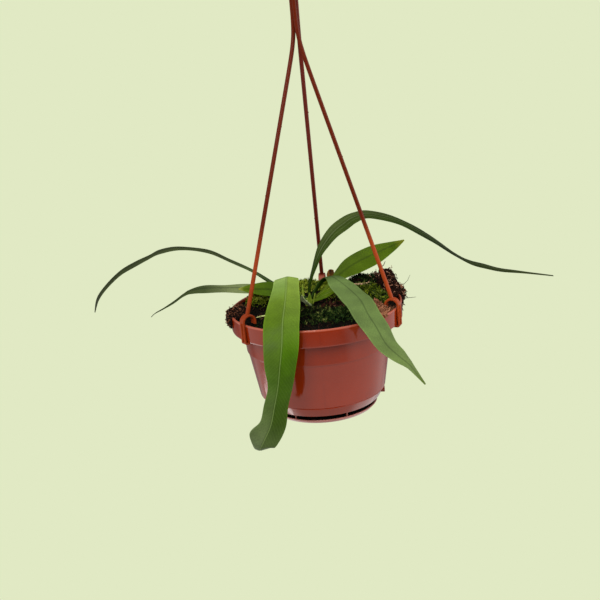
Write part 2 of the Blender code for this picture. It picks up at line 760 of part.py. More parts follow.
def make_lump(name, colour, clearance):
    blobs = [lump(name, *shape) for shape in LUMPS[name]]
    whole = blobs[0]
    for blob in blobs[1:]:
        whole = join(whole, blob)
    return finished(without_crumbs(cut(whole, copy_of(clearance))), colour)


def make_bar(name, shape, extra=0):
    """A twig or a root, with extra millimetres of radius."""
    points, radii = shape
    line = [tuple(value * MM for value in point) for point in points]
    widest = max(radii) + extra
    taper = [(radius + extra) / widest for radius in radii]
    return tube(name, line, widest * MM, pot_frame, taper=taper)


def crown_profile(extra):
    """The crown's outline, with extra metres all round."""
    radius = CROWN_RADIUS + extra
    top = CROWN_TOP + extra
    return (
        (0, top),
        (radius * 0.55, top - 0.0005),
        (radius * 0.9, top - 0.002),
        (radius, top - 0.004),
        (radius, CROWN_FOOT),
        (0, CROWN_FOOT),
    )


def make_crown(name, extra):
    crown = turned(name, crown_profile(extra), pot_frame)
    crown.location = (*CROWN_CENTRE, 0)
    bpy.context.view_layer.update()
    return crown


def between(before, start, end, after, t):
    """A value between start and end on the smooth curve that also passes the values around them."""
    slope = (end - before) / 2
    end_slope = (after - start) / 2
    rise = end - start
    square = 3 * rise - 2 * slope - end_slope
    cube = slope + end_slope - 2 * rise
    return start + slope * t + square * t**2 + cube * t**3


def smooth_between(rows, count):
    """Rows read from a smooth curve through the given rows, with count steps to each span."""
    rows = [rows[0], *rows, rows[-1]]
    for span in range(len(rows) - 3):
        for step in range(count):
            yield [between(*values, step / count) for values in zip(*rows[span : span + 4])]
    yield list(rows[-1])


def smooth_step(value, low, high):
    t = min(max((value - low) / (high - low), 0), 1)
    return t * t * (3 - 2 * t)


def leaf_frames(leaf):
    """Place, directions, half widths and flatness of each cross-section, from the petiole to the tip."""
    heading = math.radians(leaf["heading"])
    right = Vector((math.sin(heading), -math.cos(heading), 0))
    rows = list(smooth_between(leaf["stations"], SECTIONS))
    places = [Vector(row[:3]) * MM for row in rows]
    widths = [max(row[3], row[4]) * MM for row in rows]
    widest = widths.index(max(widths))
    for index, row in enumerate(rows):
        along = places[min(index + 1, len(rows) - 1)] - places[max(index - 1, 0)]
        along.normalize()
        across = (right - along * right.dot(along)).normalized()
        across.rotate(Matrix.Rotation(math.radians(row[5]), 3, along))
        upwards = across.cross(along)
        flat = smooth_step(widths[index], BLADE_BEGINS, BLADE_FULL) if index < widest else 1.0
        yield places[index], across, upwards, row[3] * MM, row[4] * MM, flat


def leaf_point(frame, leaf, length, side, upper):
    """A point of the leaf's skin. side runs from -1 at the left edge to 1 at the right edge."""
    middle, across, upwards, left, right, blade = frame
    half = right if side > 0 else left
    broad = smooth_step(max(left, right), BLADE_BEGINS, BLADE_FULL)
    offset = side * half
    level = -leaf["fold"] * abs(offset) * blade
    level += leaf["wave"] * MM * broad * side * abs(side) * math.sin(length * WAVE_RATE)
    stalk = PETIOLE_THICKNESS / 2 * math.sqrt(max(1 - side * side, PETIOLE_EDGE))
    rib = MIDRIB_HEIGHT * math.exp(-((offset / MIDRIB_WIDTH) ** 2))
    top = BLADE_THICKNESS / 2 * blade + stalk * (1 - blade)
    bottom = top + rib * broad
    level += top if upper else -bottom
    return middle + across * offset + upwards * level


def make_blade(name, leaf):
    """A grid rolled into a tube: its first half is the upper face, its second half the lower one."""
    frames = list(leaf_frames(leaf))
    lengths = [0.0]
    for first, second in zip(frames, frames[1:]):
        lengths.append(lengths[-1] + (second[0] - first[0]).length)
    around = 2 * ACROSS + 2
    bm = bmesh.new()
    bmesh.ops.create_grid(bm, x_segments=len(frames) - 1, y_segments=around, size=1)
    top_faces = []
    bottom_faces = []
    for face in bm.faces:
        turn = (face.calc_center_median().y + 1) / 2 * around
        (top_faces if turn < ACROSS else bottom_faces).append(face)
    for vertex in bm.verts:
        station = round((vertex.co.x + 1) / 2 * (len(frames) - 1))
        turn = round((vertex.co.y + 1) / 2 * around) % around
        upper = turn <= ACROSS
        side = 1 - 2 * turn / ACROSS if upper else 2 * (turn - ACROSS - 1) / ACROSS - 1
        vertex.co = leaf_point(frames[station], leaf, lengths[station], side, upper)
    # The upper and the lower face are split along the same diagonals
    bmesh.ops.triangulate(bm, faces=top_faces, quad_method="FIXED")
    bmesh.ops.triangulate(bm, faces=bottom_faces, quad_method="ALTERNATE")
    bmesh.ops.remove_doubles(bm, verts=bm.verts, dist=0.001 * MM)
    bmesh.ops.holes_fill(bm, edges=bm.edges, sides=0)
    bmesh.ops.recalc_face_normals(bm, faces=bm.faces)
    mesh = bpy.data.meshes.new(name)
    bm.to_mesh(mesh)
    bm.free()
    return place(name, mesh, pot_frame)


def make_leaf(name, leaf, colour):
    """The leaf, ending a small gap short of the crown."""
    blade = make_blade(name, leaf)
    return finished(cut(blade, make_crown("crown_clearance", SEAT_GAP)), colour)


def main():
    make_pot()
    make_saucer()
    for side in CLIP_AZIMUTHS:
        make_strand(side)
    make_hook()
    make_soil()
    clearance = make_clearance()
    make_lump("coir_clump_right", "coir_dark", clearance)
    make_lump("coir_clump_left", "coir_dark", clearance)
    make_lump("coir_clump_front", "coir_light", clearance)
    for moss in ("moss_back", "moss_front", "moss_left"):
        make_lump(moss, "moss", clearance)
    moss_right = make_lump("moss_right", "moss", clearance)
    cut(moss_right, make_bar("twig_groove", TWIG, SEAT_GAP / MM))
    finished(make_bar("twig", TWIG), "bark")
    make_lump("bark_chip", "bark", clearance)
    finished(cut(make_bar("root_tip", ROOT_TIP), clearance), "papery")
    finished(make_crown("crown", 0), "crown")
    for name, leaf in LEAVES.items():
        dark = name in ("arch", "left_long")
        make_leaf("leaf_" + name, leaf, "leaf_dark" if dark else "leaf")
    make_leaf("cataphyll", CATAPHYLL, "papery")


clear_scene()
part = collection("anthurium_in_hanging_pot")
pot_frame = place("pot_centre", None, location=POT_CENTRE)
main()
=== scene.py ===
# %% [markdown]
# # A strap-leaved anthurium in its hanging pot
#
# A young plant with long arching leaves grows in a glossy terracotta-coloured plastic pot, which hangs by
# three moulded strands. The solids of the pot, the hanger, the soil and the leaves already exist and stay
# as they are. This lesson lays the visible surfaces over them: smooth turned plastic, ribbed leaf blades,
# peat crumbs, coir and moss.

# %% Load the frame
import math

import bpy
import numpy as np
from mathutils import Matrix, Vector, noise


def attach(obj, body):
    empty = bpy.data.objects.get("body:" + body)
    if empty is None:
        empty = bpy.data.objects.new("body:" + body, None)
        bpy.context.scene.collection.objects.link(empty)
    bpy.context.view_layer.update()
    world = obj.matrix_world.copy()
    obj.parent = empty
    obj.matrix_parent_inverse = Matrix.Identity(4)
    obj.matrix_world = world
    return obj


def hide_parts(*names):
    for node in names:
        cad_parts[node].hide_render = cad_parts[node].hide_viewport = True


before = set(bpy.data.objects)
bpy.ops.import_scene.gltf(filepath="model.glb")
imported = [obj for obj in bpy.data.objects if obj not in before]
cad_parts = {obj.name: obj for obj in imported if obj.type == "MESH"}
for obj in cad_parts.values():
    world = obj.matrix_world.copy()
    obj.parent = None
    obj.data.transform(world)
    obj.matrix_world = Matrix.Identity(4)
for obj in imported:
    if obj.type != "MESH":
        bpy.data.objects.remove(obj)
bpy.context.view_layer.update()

# %% [markdown]
# Sizes are easiest to read in millimetres, from the middle of the pot's rim. The pot hangs 296 mm below the
# seat of its hook, which is the origin of the whole part, so a point of the pot is moved there once, in one
# small function.

# %% Where the pot hangs
MM = 0.001
POT = Vector((-0.0033, 0, -0.296))


def in_pot(x, y, z):
    """A place given in millimetres from the middle of the pot's rim."""
    return POT + Vector((x, y, z)) * MM


def around(radius, degrees, height):
    """A place on a circle about the pot's axis, in millimetres. -90 degrees faces the viewer."""
    angle = math.radians(degrees)
    return in_pot(radius * math.cos(angle), radius * math.sin(angle), height)

# %% [markdown]
# An operator works on whatever is selected, so each piece starts from an empty selection. A finished piece
# has its place in its mesh: its object sits at the origin, it rides on the one body of the part, and the
# plain solids it stands for are hidden.

# %% Starting and finishing a piece
def start_afresh():
    if bpy.context.object and bpy.context.object.mode != "OBJECT":
        bpy.ops.object.mode_set(mode="OBJECT")
    bpy.ops.object.select_all(action="DESELECT")


def only(obj):
    """The object selected and active, with nothing else."""
    start_afresh()
    obj.select_set(True)
    bpy.context.view_layer.objects.active = obj
    return obj


def whole(obj):
    """All of the object selected in edit mode."""
    only(obj)
    bpy.ops.object.mode_set(mode="EDIT")
    bpy.ops.mesh.select_all(action="SELECT")


def faced_outwards(obj):
    """All faces of the object turned outwards, and edit mode left."""
    bpy.ops.mesh.select_all(action="SELECT")
    bpy.ops.mesh.normals_make_consistent(inside=False)
    bpy.ops.object.mode_set(mode="OBJECT")
    return obj

# %% Modifiers and finishing a piece
def applied(obj, kind, **settings):
    """A modifier added with its settings and applied at once."""
    only(obj)
    modifier = obj.modifiers.new(kind.lower(), kind)
    for setting, value in settings.items():
        setattr(modifier, setting, value)
    bpy.ops.object.modifier_apply(modifier=modifier.name)
    return obj


def joined(pieces):
    """Several objects made one."""
    start_afresh()
    for piece in pieces:
        piece.select_set(True)
    bpy.context.view_layer.objects.active = pieces[0]
    bpy.ops.object.join()
    return pieces[0]


def finish_piece(obj, name, material, slot, *nodes, smooth=40):
    """The piece shaded, at the origin and in its material, standing for the named solids."""
    only(obj)
    bpy.ops.object.transform_apply(location=True, rotation=True, scale=True)
    bpy.ops.object.shade_smooth_by_angle(angle=math.radians(smooth))
    obj.name = obj.data.name = name
    obj.data.materials.clear()
    obj.data.materials.append(material)
    if nodes:
        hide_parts(*nodes)
    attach(obj, "root")
    print(f"{name}: {len(obj.data.polygons)} faces")
    return obj

# %% [markdown]
# The picture was taken from a little above the rim, with the camera tilted so that the pot leans. The pot
# itself hangs level, so the lean is in the camera: its three directions are worked out from its slope and
# its tilt.

# %% Camera
CAMERA_SLOPE = math.radians(16.43)
CAMERA_TILT = math.radians(-5.21)
CAMERA_DISTANCE = 0.88
FOCAL_PIXELS = 1082.7
PICTURE_WIDTH = 600
RIM_CENTRE_PIXEL = (315.67, 303.67)

forward = Vector((0, math.cos(CAMERA_SLOPE), -math.sin(CAMERA_SLOPE)))
level = Vector((1, 0, 0))
upright = Vector((0, math.sin(CAMERA_SLOPE), math.cos(CAMERA_SLOPE)))
camera_x = level * math.cos(CAMERA_TILT) + upright * math.sin(CAMERA_TILT)
camera_y = upright * math.cos(CAMERA_TILT) - level * math.sin(CAMERA_TILT)
off_x, off_y = ((pixel - PICTURE_WIDTH / 2) / FOCAL_PIXELS for pixel in RIM_CENTRE_PIXEL)

start_afresh()
bpy.ops.object.camera_add()
camera = bpy.context.object
camera.data.sensor_width = 36
camera.data.lens = FOCAL_PIXELS * camera.data.sensor_width / PICTURE_WIDTH
camera.data.clip_start = 0.01
camera.matrix_world = Matrix((camera_x, camera_y, -forward)).transposed().to_4x4()
camera.location = POT - (camera_x * off_x - camera_y * off_y + forward) * CAMERA_DISTANCE
bpy.context.scene.camera = camera
print("camera at", [round(value, 4) for value in camera.location])

# %% [markdown]
# The pot is glossy, so it shows the room it hangs in. The floor below it gets brighter in three steps, so
# that the rim, the band and the body each mirror another brightness, as each slopes a little more. Pale
# walls stand at both sides, the ceiling is dimmer, and the viewer's side is darkest. Each of these is a
# smooth step in one direction of the world, and the brightest of them wins. Straight below, the floor lies
# in the pot's own shade, which keeps the sloping base as deep as the body. A large lamp stands in front,
# above the viewer and a little to the left, so that the leaves' shadows on the pot fall mostly behind them.
# One low at the left shows in the pot's flank, one stands at the right, and a small one above puts a light
# line on the rim's lip. The plain pale green behind is seen only by the camera, so it doesn't tint the
# object.

# %% Values of the studio
BACKDROP = (0.753, 0.815, 0.552, 1)
ROOM_TONE = (1.0, 0.985, 0.96, 1)
ROOM_DIM = 0.06
# Axis, where the step begins and ends along it, and how bright it gets
ROOM_SIDES = (
    ("Z", -0.28, -0.36, 0.25),
    ("Z", -0.39, -0.44, 0.58),
    ("Z", -0.52, -0.60, 0.95),
    ("X", -0.6, -0.95, 0.9),
    ("X", 0.35, 0.75, 0.95),
    ("Z", 0.25, 0.95, 0.66),
)
# Where the floor's darker middle begins and ends, and what is left of the brightness there
FLOOR_MIDDLE = ("Z", -0.84, -0.93)
MIDDLE_LEFT = 0.5
# Place, size, power and tone
LAMPS = {
    "lamp_in_front": ((-0.38, -1.07, 0.5), 0.8, 13.7, (1.0, 0.98, 0.95)),
    "lamp_low_left": ((-0.70, 0.30, -1.10), 0.6, 2.3, (1.0, 0.97, 0.95)),
    "lamp_right": ((0.95, -0.30, 0.0), 0.5, 3, (1.0, 0.97, 0.94)),
    "lamp_above": ((-0.10, -0.15, 1.0), 0.3, 1.6, (1.0, 0.98, 0.95)),
}

# %% The mirrored room
def make_studio():
    world = bpy.data.worlds.new("studio")
    bpy.context.scene.world = world
    world.use_nodes = True
    nodes, links = world.node_tree.nodes, world.node_tree.links
    room = nodes["Background"]
    room.inputs["Color"].default_value = ROOM_TONE
    place = nodes.new("ShaderNodeTexCoord")
    split = nodes.new("ShaderNodeSeparateXYZ")
    links.new(place.outputs["Generated"], split.inputs[0])

    def step_along(axis, begin, end, low, high):
        step = nodes.new("ShaderNodeMapRange")
        step.interpolation_type = "SMOOTHSTEP"
        for socket, value in (("From Min", begin), ("From Max", end), ("To Min", low), ("To Max", high)):
            step.inputs[socket].default_value = value
        links.new(split.outputs[axis], step.inputs["Value"])
        return step.outputs["Result"]

    def both(operation, first, second):
        node = nodes.new("ShaderNodeMath")
        node.operation = operation
        links.new(first, node.inputs[0])
        links.new(second, node.inputs[1])
        return node.outputs[0]

    sides = [step_along(*side[:3], ROOM_DIM, side[3]) for side in ROOM_SIDES]
    brightest = sides[0]
    for side in sides[1:]:
        brightest = both("MAXIMUM", brightest, side)
    middle = step_along(*FLOOR_MIDDLE, 1.0, MIDDLE_LEFT)
    links.new(both("MULTIPLY", brightest, middle), room.inputs["Strength"])
    behind = nodes.new("ShaderNodeBackground")
    behind.inputs["Color"].default_value = BACKDROP
    path = nodes.new("ShaderNodeLightPath")
    seen = nodes.new("ShaderNodeMixShader")
    links.new(path.outputs["Is Camera Ray"], seen.inputs["Fac"])
    links.new(room.outputs[0], seen.inputs[1])
    links.new(behind.outputs[0], seen.inputs[2])
    links.new(seen.outputs[0], nodes["World Output"].inputs["Surface"])

# %% Lamps
def add_lamp(name, place, size, power, tone):
    """A large square lamp that faces the pot."""
    bpy.ops.object.light_add(type="AREA", location=place)
    lamp = bpy.context.object
    lamp.name = name
    lamp.rotation_euler = (POT - Vector(place)).to_track_quat("-Z", "Y").to_euler()
    lamp.data.size = size
    lamp.data.energy = power
    lamp.data.color = tone


make_studio()
for lamp_name, lamp_values in LAMPS.items():
    add_lamp(lamp_name, *lamp_values)
bpy.context.scene.view_settings.view_transform = "Standard"

# %% [markdown]
# Each finish is a small tree of nodes. Wiring nodes by hand takes many lines, so a little workbench does it:
# every method adds one node and gives back its output, and the recipe of a finish then reads like a
# sentence. Patterns are read from Object coordinates, in metres, so that they keep their real size.

# %% A workbench for finishes
class Finish:
    """A material on the bench, with its Principled shader."""

    def __init__(self, name, roughness=0.5, specular=0.5):
        self.material = bpy.data.materials.new(name)
        self.material.use_nodes = True
        self.tree = self.material.node_tree
        self.shader = self.tree.nodes["Principled BSDF"]
        self.shader.inputs["Roughness"].default_value = roughness
        self.shader.inputs["Specular IOR Level"].default_value = specular

    def add(self, kind, output=0, inputs=None, **settings):
        node = self.tree.nodes.new(kind)
        for setting, value in settings.items():
            setattr(node, setting, value)
        for key, value in (inputs or {}).items():
            self.feed(node.inputs[key], value)
        return node.outputs[output]

    def feed(self, socket, value):
        if isinstance(value, bpy.types.NodeSocket):
            self.tree.links.new(value, socket)
        else:
            socket.default_value = value

    def place(self, stretch=(1, 1, 1)):
        """Object coordinates, squeezed or stretched along the axes."""
        spot = self.add("ShaderNodeTexCoord", "Object")
        return self.add("ShaderNodeMapping", inputs={"Vector": spot, "Scale": stretch})

    def noise(self, scale, detail=4, roughness=0.5, place=None):
        spot = place or self.place()
        inputs = {"Vector": spot, "Scale": scale, "Detail": detail, "Roughness": roughness}
        return self.add("ShaderNodeTexNoise", inputs=inputs)

    def ramp(self, value, *stops):
        """Colours read off a scale: each stop is a position and a colour."""
        colours = self.add("ShaderNodeValToRGB", inputs={"Fac": value})
        scale = colours.node.color_ramp
        while len(scale.elements) < len(stops):
            scale.elements.new(1)
        for element, (position, colour) in zip(scale.elements, stops):
            element.position = position
            element.color = (*colour, 1)
        return colours

    def spread(self, value, low, high, start=0.0, end=1.0):
        """The value between low and high, carried over to the range from start to end."""
        inputs = {"Value": value, "From Min": low, "From Max": high, "To Min": start, "To Max": end}
        return self.add("ShaderNodeMapRange", inputs=inputs, interpolation_type="SMOOTHSTEP")

    def mix(self, amount, first, second, blend="MIX"):
        inputs = {0: amount, 6: first, 7: second}
        return self.add("ShaderNodeMix", 2, inputs, data_type="RGBA", blend_type=blend)

    def maths(self, operation, first, second=0.0):
        return self.add("ShaderNodeMath", inputs={0: first, 1: second}, operation=operation)

    def split(self, vector):
        """The three numbers of a vector."""
        return self.add("ShaderNodeSeparateXYZ", inputs={0: vector}).node.outputs

    def tinted(self, colour, amount):
        """The colour made lighter or darker by an amount that varies over the piece."""
        grey = self.add("ShaderNodeCombineColor", inputs={0: amount, 1: amount, 2: amount})
        return self.mix(1.0, colour, grey, "MULTIPLY")

    def bump(self, height, depth, strength=1.0, under=None):
        inputs = {"Height": height, "Distance": depth, "Strength": strength}
        if under:
            inputs["Normal"] = under
        return self.add("ShaderNodeBump", inputs=inputs)

    def done(self, colour, roughness=None, normal=None):
        self.feed(self.shader.inputs["Base Color"], colour)
        if roughness is not None:
            self.feed(self.shader.inputs["Roughness"], roughness)
        if normal is not None:
            self.feed(self.shader.inputs["Normal"], normal)
        return self.material

# %% [markdown]
# ## Moulded plastic
#
# The pot is injection moulded: almost one colour, with faint clouds where the pigment flowed, a little dust
# and handling that breaks up its gloss, and a surface that isn't quite flat, which makes the mirrored room
# waver. Its lip is painted paler as a painted highlight, and the saucer is painted paler than the pot as a
# painted reflection of the floor. The hanger is moulded of a less glossy plastic. Its strands are painted
# lighter low down, as painted light from the pot, and darker above as painted shade, and the one at the back
# is painted dark from its clip up as painted shade, with its clip painted paler as painted light. So the
# colour of pot and hanger changes with the height.

# %% Heights and tones of the plastic
# Heights between which the strands, the pot's lip and the clip at the back change from their lower colour
# to the upper one: painted light and shade on the hanger, a painted highlight on the lip
STRAND_SHADE_FROM = (-0.250, -0.218)
LIP_HIGHLIGHT_FROM = (-0.2978, -0.2968)
BACK_SHADE_FROM = (-0.2905, -0.2885)
DUST = (0.62, 0.42, 0.34, 1)

# %% Recipe of the plastic
def plastic(name, deep, light, gloss, specular=0.5, upper=None, reach=STRAND_SHADE_FROM):
    """Terracotta-coloured plastic. upper is its colour above the heights of reach, which paints light or
    shade.
    """
    bench = Finish(name, specular=specular)
    clouds = bench.noise(24, 3, 0.55)
    colour = bench.ramp(clouds, (0.35, deep), (0.68, light))
    # Above the heights of reach the colour is painted light or shade: a highlight on the lip, shade on the
    # hanger
    if upper:
        height = bench.split(bench.place())[2]
        colour = bench.mix(bench.spread(height, *reach), colour, (*upper, 1))
    dust = bench.spread(bench.noise(1500, 2, 0.7), 0.62, 0.78)
    dusty = bench.mix(bench.maths("MULTIPLY", dust, 0.10), colour, DUST)
    handled = bench.noise(90, 5, 0.65)
    roughness = bench.spread(handled, 0.3, 0.7, gloss - 0.04, gloss + 0.07)
    waver = bench.bump(bench.noise(45, 1), 0.0006, 0.25)
    grain = bench.bump(bench.noise(2600, 2), 0.00003, 0.25, waver)
    return bench.done(dusty, roughness, grain)

# %% Plastic finishes
POT_PLASTIC = plastic(
    "terracotta_plastic",
    (0.225, 0.018, 0.001),
    (0.265, 0.022, 0.0015),
    0.07,
    # The pale colour of the lip is a painted highlight
    upper=(0.40, 0.09, 0.05),
    reach=LIP_HIGHLIGHT_FROM,
)
# The saucer is painted paler than the pot: a painted reflection of the bright floor below
SAUCER_PAINTED_PALE = plastic("saucer_painted_pale", (0.38, 0.14, 0.11), (0.44, 0.17, 0.14), 0.16)
# The strands are painted orange low down as painted light, and dark above as painted shade
HANGER_PAINTED_LIGHT = plastic(
    "hanger_plastic", (0.26, 0.036, 0.007), (0.36, 0.056, 0.012), 0.28, 0.10, upper=(0.110, 0.012, 0.002)
)
# The strand at the back is painted dark from its clip up as painted shade, its clip paler as painted light
BACK_PAINTED_SHADE = plastic(
    "hanger_plastic_back_painted_shade",
    (0.30, 0.06, 0.03),
    (0.36, 0.08, 0.045),
    0.28,
    0.14,
    upper=(0.115, 0.011, 0.004),
    reach=BACK_SHADE_FROM,
)

# %% [markdown]
# ## The pot
#
# On a lathe a profile turns about an axis. In Blender a circle does the same work: it is extruded from ring
# to ring and each ring is scaled to its radius. The wall is a closed loop of rings, so its last ring lands
# on the first and is merged with it. A Bevel modifier then breaks all the sharp corners at once, because a
# moulded edge is never quite sharp.

# %% Turning a profile
def turned(profile, segments=160, closed=False, centre=POT):
    """A circle pulled through (radius, height) rings, in millimetres from the centre."""
    start_afresh()
    radius, height = profile[0]
    first = centre + Vector((0, 0, height * MM))
    bpy.ops.mesh.primitive_circle_add(vertices=segments, radius=radius * MM, location=first)
    obj = bpy.context.object
    whole(obj)
    for next_radius, next_height in profile[1:]:
        drop = (0, 0, (next_height - height) * MM)
        bpy.ops.mesh.extrude_region_move(TRANSFORM_OT_translate={"value": drop})
        scale = next_radius / radius
        bpy.ops.transform.resize(value=(scale, scale, 1), center_override=centre)
        radius, height = next_radius, next_height
    bpy.ops.mesh.select_all(action="SELECT")
    bpy.ops.mesh.remove_doubles(threshold=0.00001)
    if not closed:
        bpy.ops.mesh.fill_holes(sides=0)
    return faced_outwards(obj)


def softened(obj, width, degrees=25):
    """Sharp corners rounded off."""
    return applied(
        obj,
        "BEVEL",
        width=width * MM,
        segments=3,
        limit_method="ANGLE",
        angle_limit=math.radians(degrees),
        use_clamp_overlap=True,
    )

# %% [markdown]
# The pot has a deep rim, a narrower band below it and a tapered body with a stepped base. A fine groove
# runs round the body just above the step, and three small blocks stand on the sloping base. Rings lie close
# to both sides of each corner, so that the smooth shading stays flat between the corners and the mirrored
# light changes crisply there. Two halves of the mould met at the front: the parting line there is a bar of
# plastic 0.3 mm thick, half sunk in the wall.

# %% The pot's profile
POT_RINGS = (
    (69.2, 0.0),
    (69.7, -0.5),
    (69.96, -1.4),
    (69.93, -2.3),
    (69.55, -13.0),
    (69.52, -13.4),
    (69.24, -14.2),
    (60.5, -14.2),
    (60.44, -15.2),
    (60.0, -23.0),
    (59.37, -31.5),
    (59.3, -32.5),
    (58.5, -32.5),
    (58.33, -33.5),
    (52.07, -69.6),
    (51.9, -70.6),
    (51.4, -70.9),
    (51.6, -71.5),
    (51.1, -72.1),
    (47.0, -78.9),
    (46.4, -79.5),
    (42.5, -79.5),
    (42.5, -78.5),
    (3.4, -78.5),
    (3.4, -77.0),
    (45.5, -77.0),
    (50.2, -70.0),
    (57.0, -33.2),
    (57.8, -31.8),
    (59.0, -12.7),
    (68.0, -12.7),
    (68.5, -0.3),
    (68.8, 0.0),
    (69.2, 0.0),
)

# %% Pot
EDGE_ROUND = 0.35
DRAIN_HOLES = 6
DRAIN_CIRCLE = 34
DRAIN_RADIUS = 1.9
DRAIN_MIDDLE, DRAIN_DEPTH = -77.5, 5
TABS = 3
TAB_CIRCLE, TAB_HEIGHT = 49.7, -74.5
TAB_SIZE = (3.8, 2.2, 4.4)


def evenly(count, first):
    """Directions spread evenly round the pot, in degrees."""
    return [first + 360 / count * index for index in range(count)]


def block(radius, degrees, height, size):
    """A small block on a circle about the pot's axis, turned outwards. All lengths are in millimetres."""
    spot, turn = around(radius, degrees, height), (0, 0, math.radians(degrees))
    scale = [length * MM for length in size]
    bpy.ops.mesh.primitive_cube_add(size=1, location=spot, rotation=turn, scale=scale)
    return bpy.context.object


def make_drill(degrees):
    spot = around(DRAIN_CIRCLE, degrees, DRAIN_MIDDLE)
    radius, depth = DRAIN_RADIUS * MM, DRAIN_DEPTH * MM
    bpy.ops.mesh.primitive_cylinder_add(vertices=24, radius=radius, depth=depth, location=spot)
    return bpy.context.object


def make_pot():
    pot = turned(POT_RINGS, closed=True)
    drill = joined([make_drill(degrees) for degrees in evenly(DRAIN_HOLES, 30)])
    applied(pot, "BOOLEAN", operation="DIFFERENCE", object=drill)
    bpy.data.objects.remove(drill)
    tabs = [block(TAB_CIRCLE, degrees, TAB_HEIGHT, TAB_SIZE) for degrees in evenly(TABS, -13)]
    pot = softened(joined([pot, *tabs]), EDGE_ROUND)
    return finish_piece(pot, "pot_turned", POT_PLASTIC, "terracotta_plastic", "pot")


make_pot()

# %% Parting line
PARTING_LINE = ((69.98, -1.5), (69.55, -13.4), (60.4, -14.4), (59.3, -32.2), (58.5, -32.7), (51.95, -70.5))
PARTING_THICKNESS = 0.3


def make_parting_line():
    start_afresh()
    (radius, height), *rest = PARTING_LINE
    bpy.ops.mesh.primitive_plane_add(size=PARTING_THICKNESS * MM, location=around(radius, -90, height))
    line = bpy.context.object
    whole(line)
    for next_radius, next_height in rest:
        step = (0, (radius - next_radius) * MM, (next_height - height) * MM)
        bpy.ops.mesh.extrude_region_move(TRANSFORM_OT_translate={"value": step})
        radius, height = next_radius, next_height
    faced_outwards(line)
    return finish_piece(line, "pot_parting_line", POT_PLASTIC, "terracotta_plastic")


make_parting_line()

# %% [markdown]
# ## The saucer
#
# The drip saucer is a shallow dish that snaps into the pot with a stud. Six small lugs hold it a few
# millimetres below the base, and the dark gap between them shows as a black line from the front.

# %% Saucer
SAUCER_RINGS = (
    (0.1, -75.5),
    (3.8, -75.5),
    (4.2, -76.0),
    (4.2, -76.7),
    (3.0, -76.7),
    (3.0, -85.8),
    (40.8, -85.8),
    (43.2, -83.8),
    (44.4, -83.8),
    (44.4, -84.4),
    (41.9, -87.0),
    (0.1, -87.0),
)
LUGS = 6
LUG_CIRCLE, LUG_MIDDLE = 41, -82.75
LUG_SIZE = (1.4, 1.2, 6.9)


def make_saucer():
    saucer = softened(turned(SAUCER_RINGS), 0.3)
    lugs = []
    for degrees in evenly(LUGS, 54):
        lugs.append(softened(block(LUG_CIRCLE, degrees, LUG_MIDDLE, LUG_SIZE), 0.25))
    saucer = joined([saucer, *lugs])
    return finish_piece(saucer, "saucer_turned", SAUCER_PAINTED_PALE, "terracotta_plastic", "saucer")


make_saucer()

# %% [markdown]
# ## The hanger
#
# Three strands run up from clips on the rim and bend in beside each other below the boss. A strand is a
# curve with a round bevel, made a mesh. Where the mould halves met, it carries tiny nubs. A clip is a strip
# that is bent over the rim, so it starts as a flat grid whose rows are moved along the bent line.

# %% Strands
CLIPS = {"left": 214.3, "right": 334.9, "back": 82.6}
STRAND_RADIUS = 1.65
PLUMB = Vector((3.3, 0))
CLIP_TOP = 6.8
STRANDS_MEET = 211.6
STRAND_TOP = 246.0
STRAND_FOOT_RADIUS = 65.8
BUNDLE = {"left": 150, "right": 270, "back": 30}
BUNDLE_RADIUS = 2.15
BUNDLE_BLEND = 2.0
# First height, step and number of the points read on a strand, below its bend and in it
STRAND_POINTS = ((CLIP_TOP - 1.2, 4, 42), (172, 1.8, 38))
NUB_RADIUS = 0.5
NUB_PLACE = (1.55, -0.3)
# Height of each moulding nub, and its flank of the strand
NUBS = {"left": ((146.5, 1), (96, -1)), "right": ((120, 1),), "back": ((152, 1), (60, -1))}


def strand_middle(side, height):
    """Where a strand's middle passes a height: straight, then bent into its place in the bundle."""
    angle = math.radians(CLIPS[side])
    turn = math.radians(BUNDLE[side])
    in_bundle = BUNDLE_RADIUS * Vector((math.cos(turn), math.sin(turn)))
    foot = STRAND_FOOT_RADIUS * Vector((math.cos(angle), math.sin(angle)))
    outwards = (foot - PLUMB).normalized()
    straight = (foot - PLUMB).length * (STRANDS_MEET - height) / (STRANDS_MEET - CLIP_TOP)
    bent = BUNDLE_BLEND * math.log1p(math.exp(straight / BUNDLE_BLEND))
    share = (height - CLIP_TOP) / (STRAND_TOP - CLIP_TOP)
    return in_pot(*(PLUMB + outwards * bent + in_bundle * share), height)

# %% Rods, strands and nubs
def rod(points, radii, sides=5):
    """A round bar through points, with its radius in millimetres at each, as a mesh."""
    start_afresh()
    bpy.ops.curve.primitive_nurbs_path_add()
    obj = bpy.context.object
    curve = obj.data
    curve.splines.clear()
    curve.bevel_depth = MM
    curve.bevel_resolution = sides
    curve.use_fill_caps = True
    spline = curve.splines.new("POLY")
    spline.points.add(len(points) - 1)
    for point, place, radius in zip(spline.points, points, radii):
        point.co = (*place, 1)
        point.radius = radius
    bpy.ops.object.convert(target="MESH")
    obj = bpy.context.object
    whole(obj)
    bpy.ops.mesh.remove_doubles(threshold=0.000005)
    return faced_outwards(obj)


def make_strand(side):
    heights = [first + step * index for first, step, count in STRAND_POINTS for index in range(count)]
    heights.append(STRAND_TOP)
    return rod([strand_middle(side, height) for height in heights], [STRAND_RADIUS] * len(heights))


def make_nub(side, height, flank):
    """A small moulding nub on the strand's flank."""
    start_afresh()
    sideways, forwards = NUB_PLACE
    spot = strand_middle(side, height) + Vector((flank * sideways, forwards, 0)) * MM
    bpy.ops.mesh.primitive_ico_sphere_add(subdivisions=2, radius=NUB_RADIUS * MM, location=spot)
    return bpy.context.object

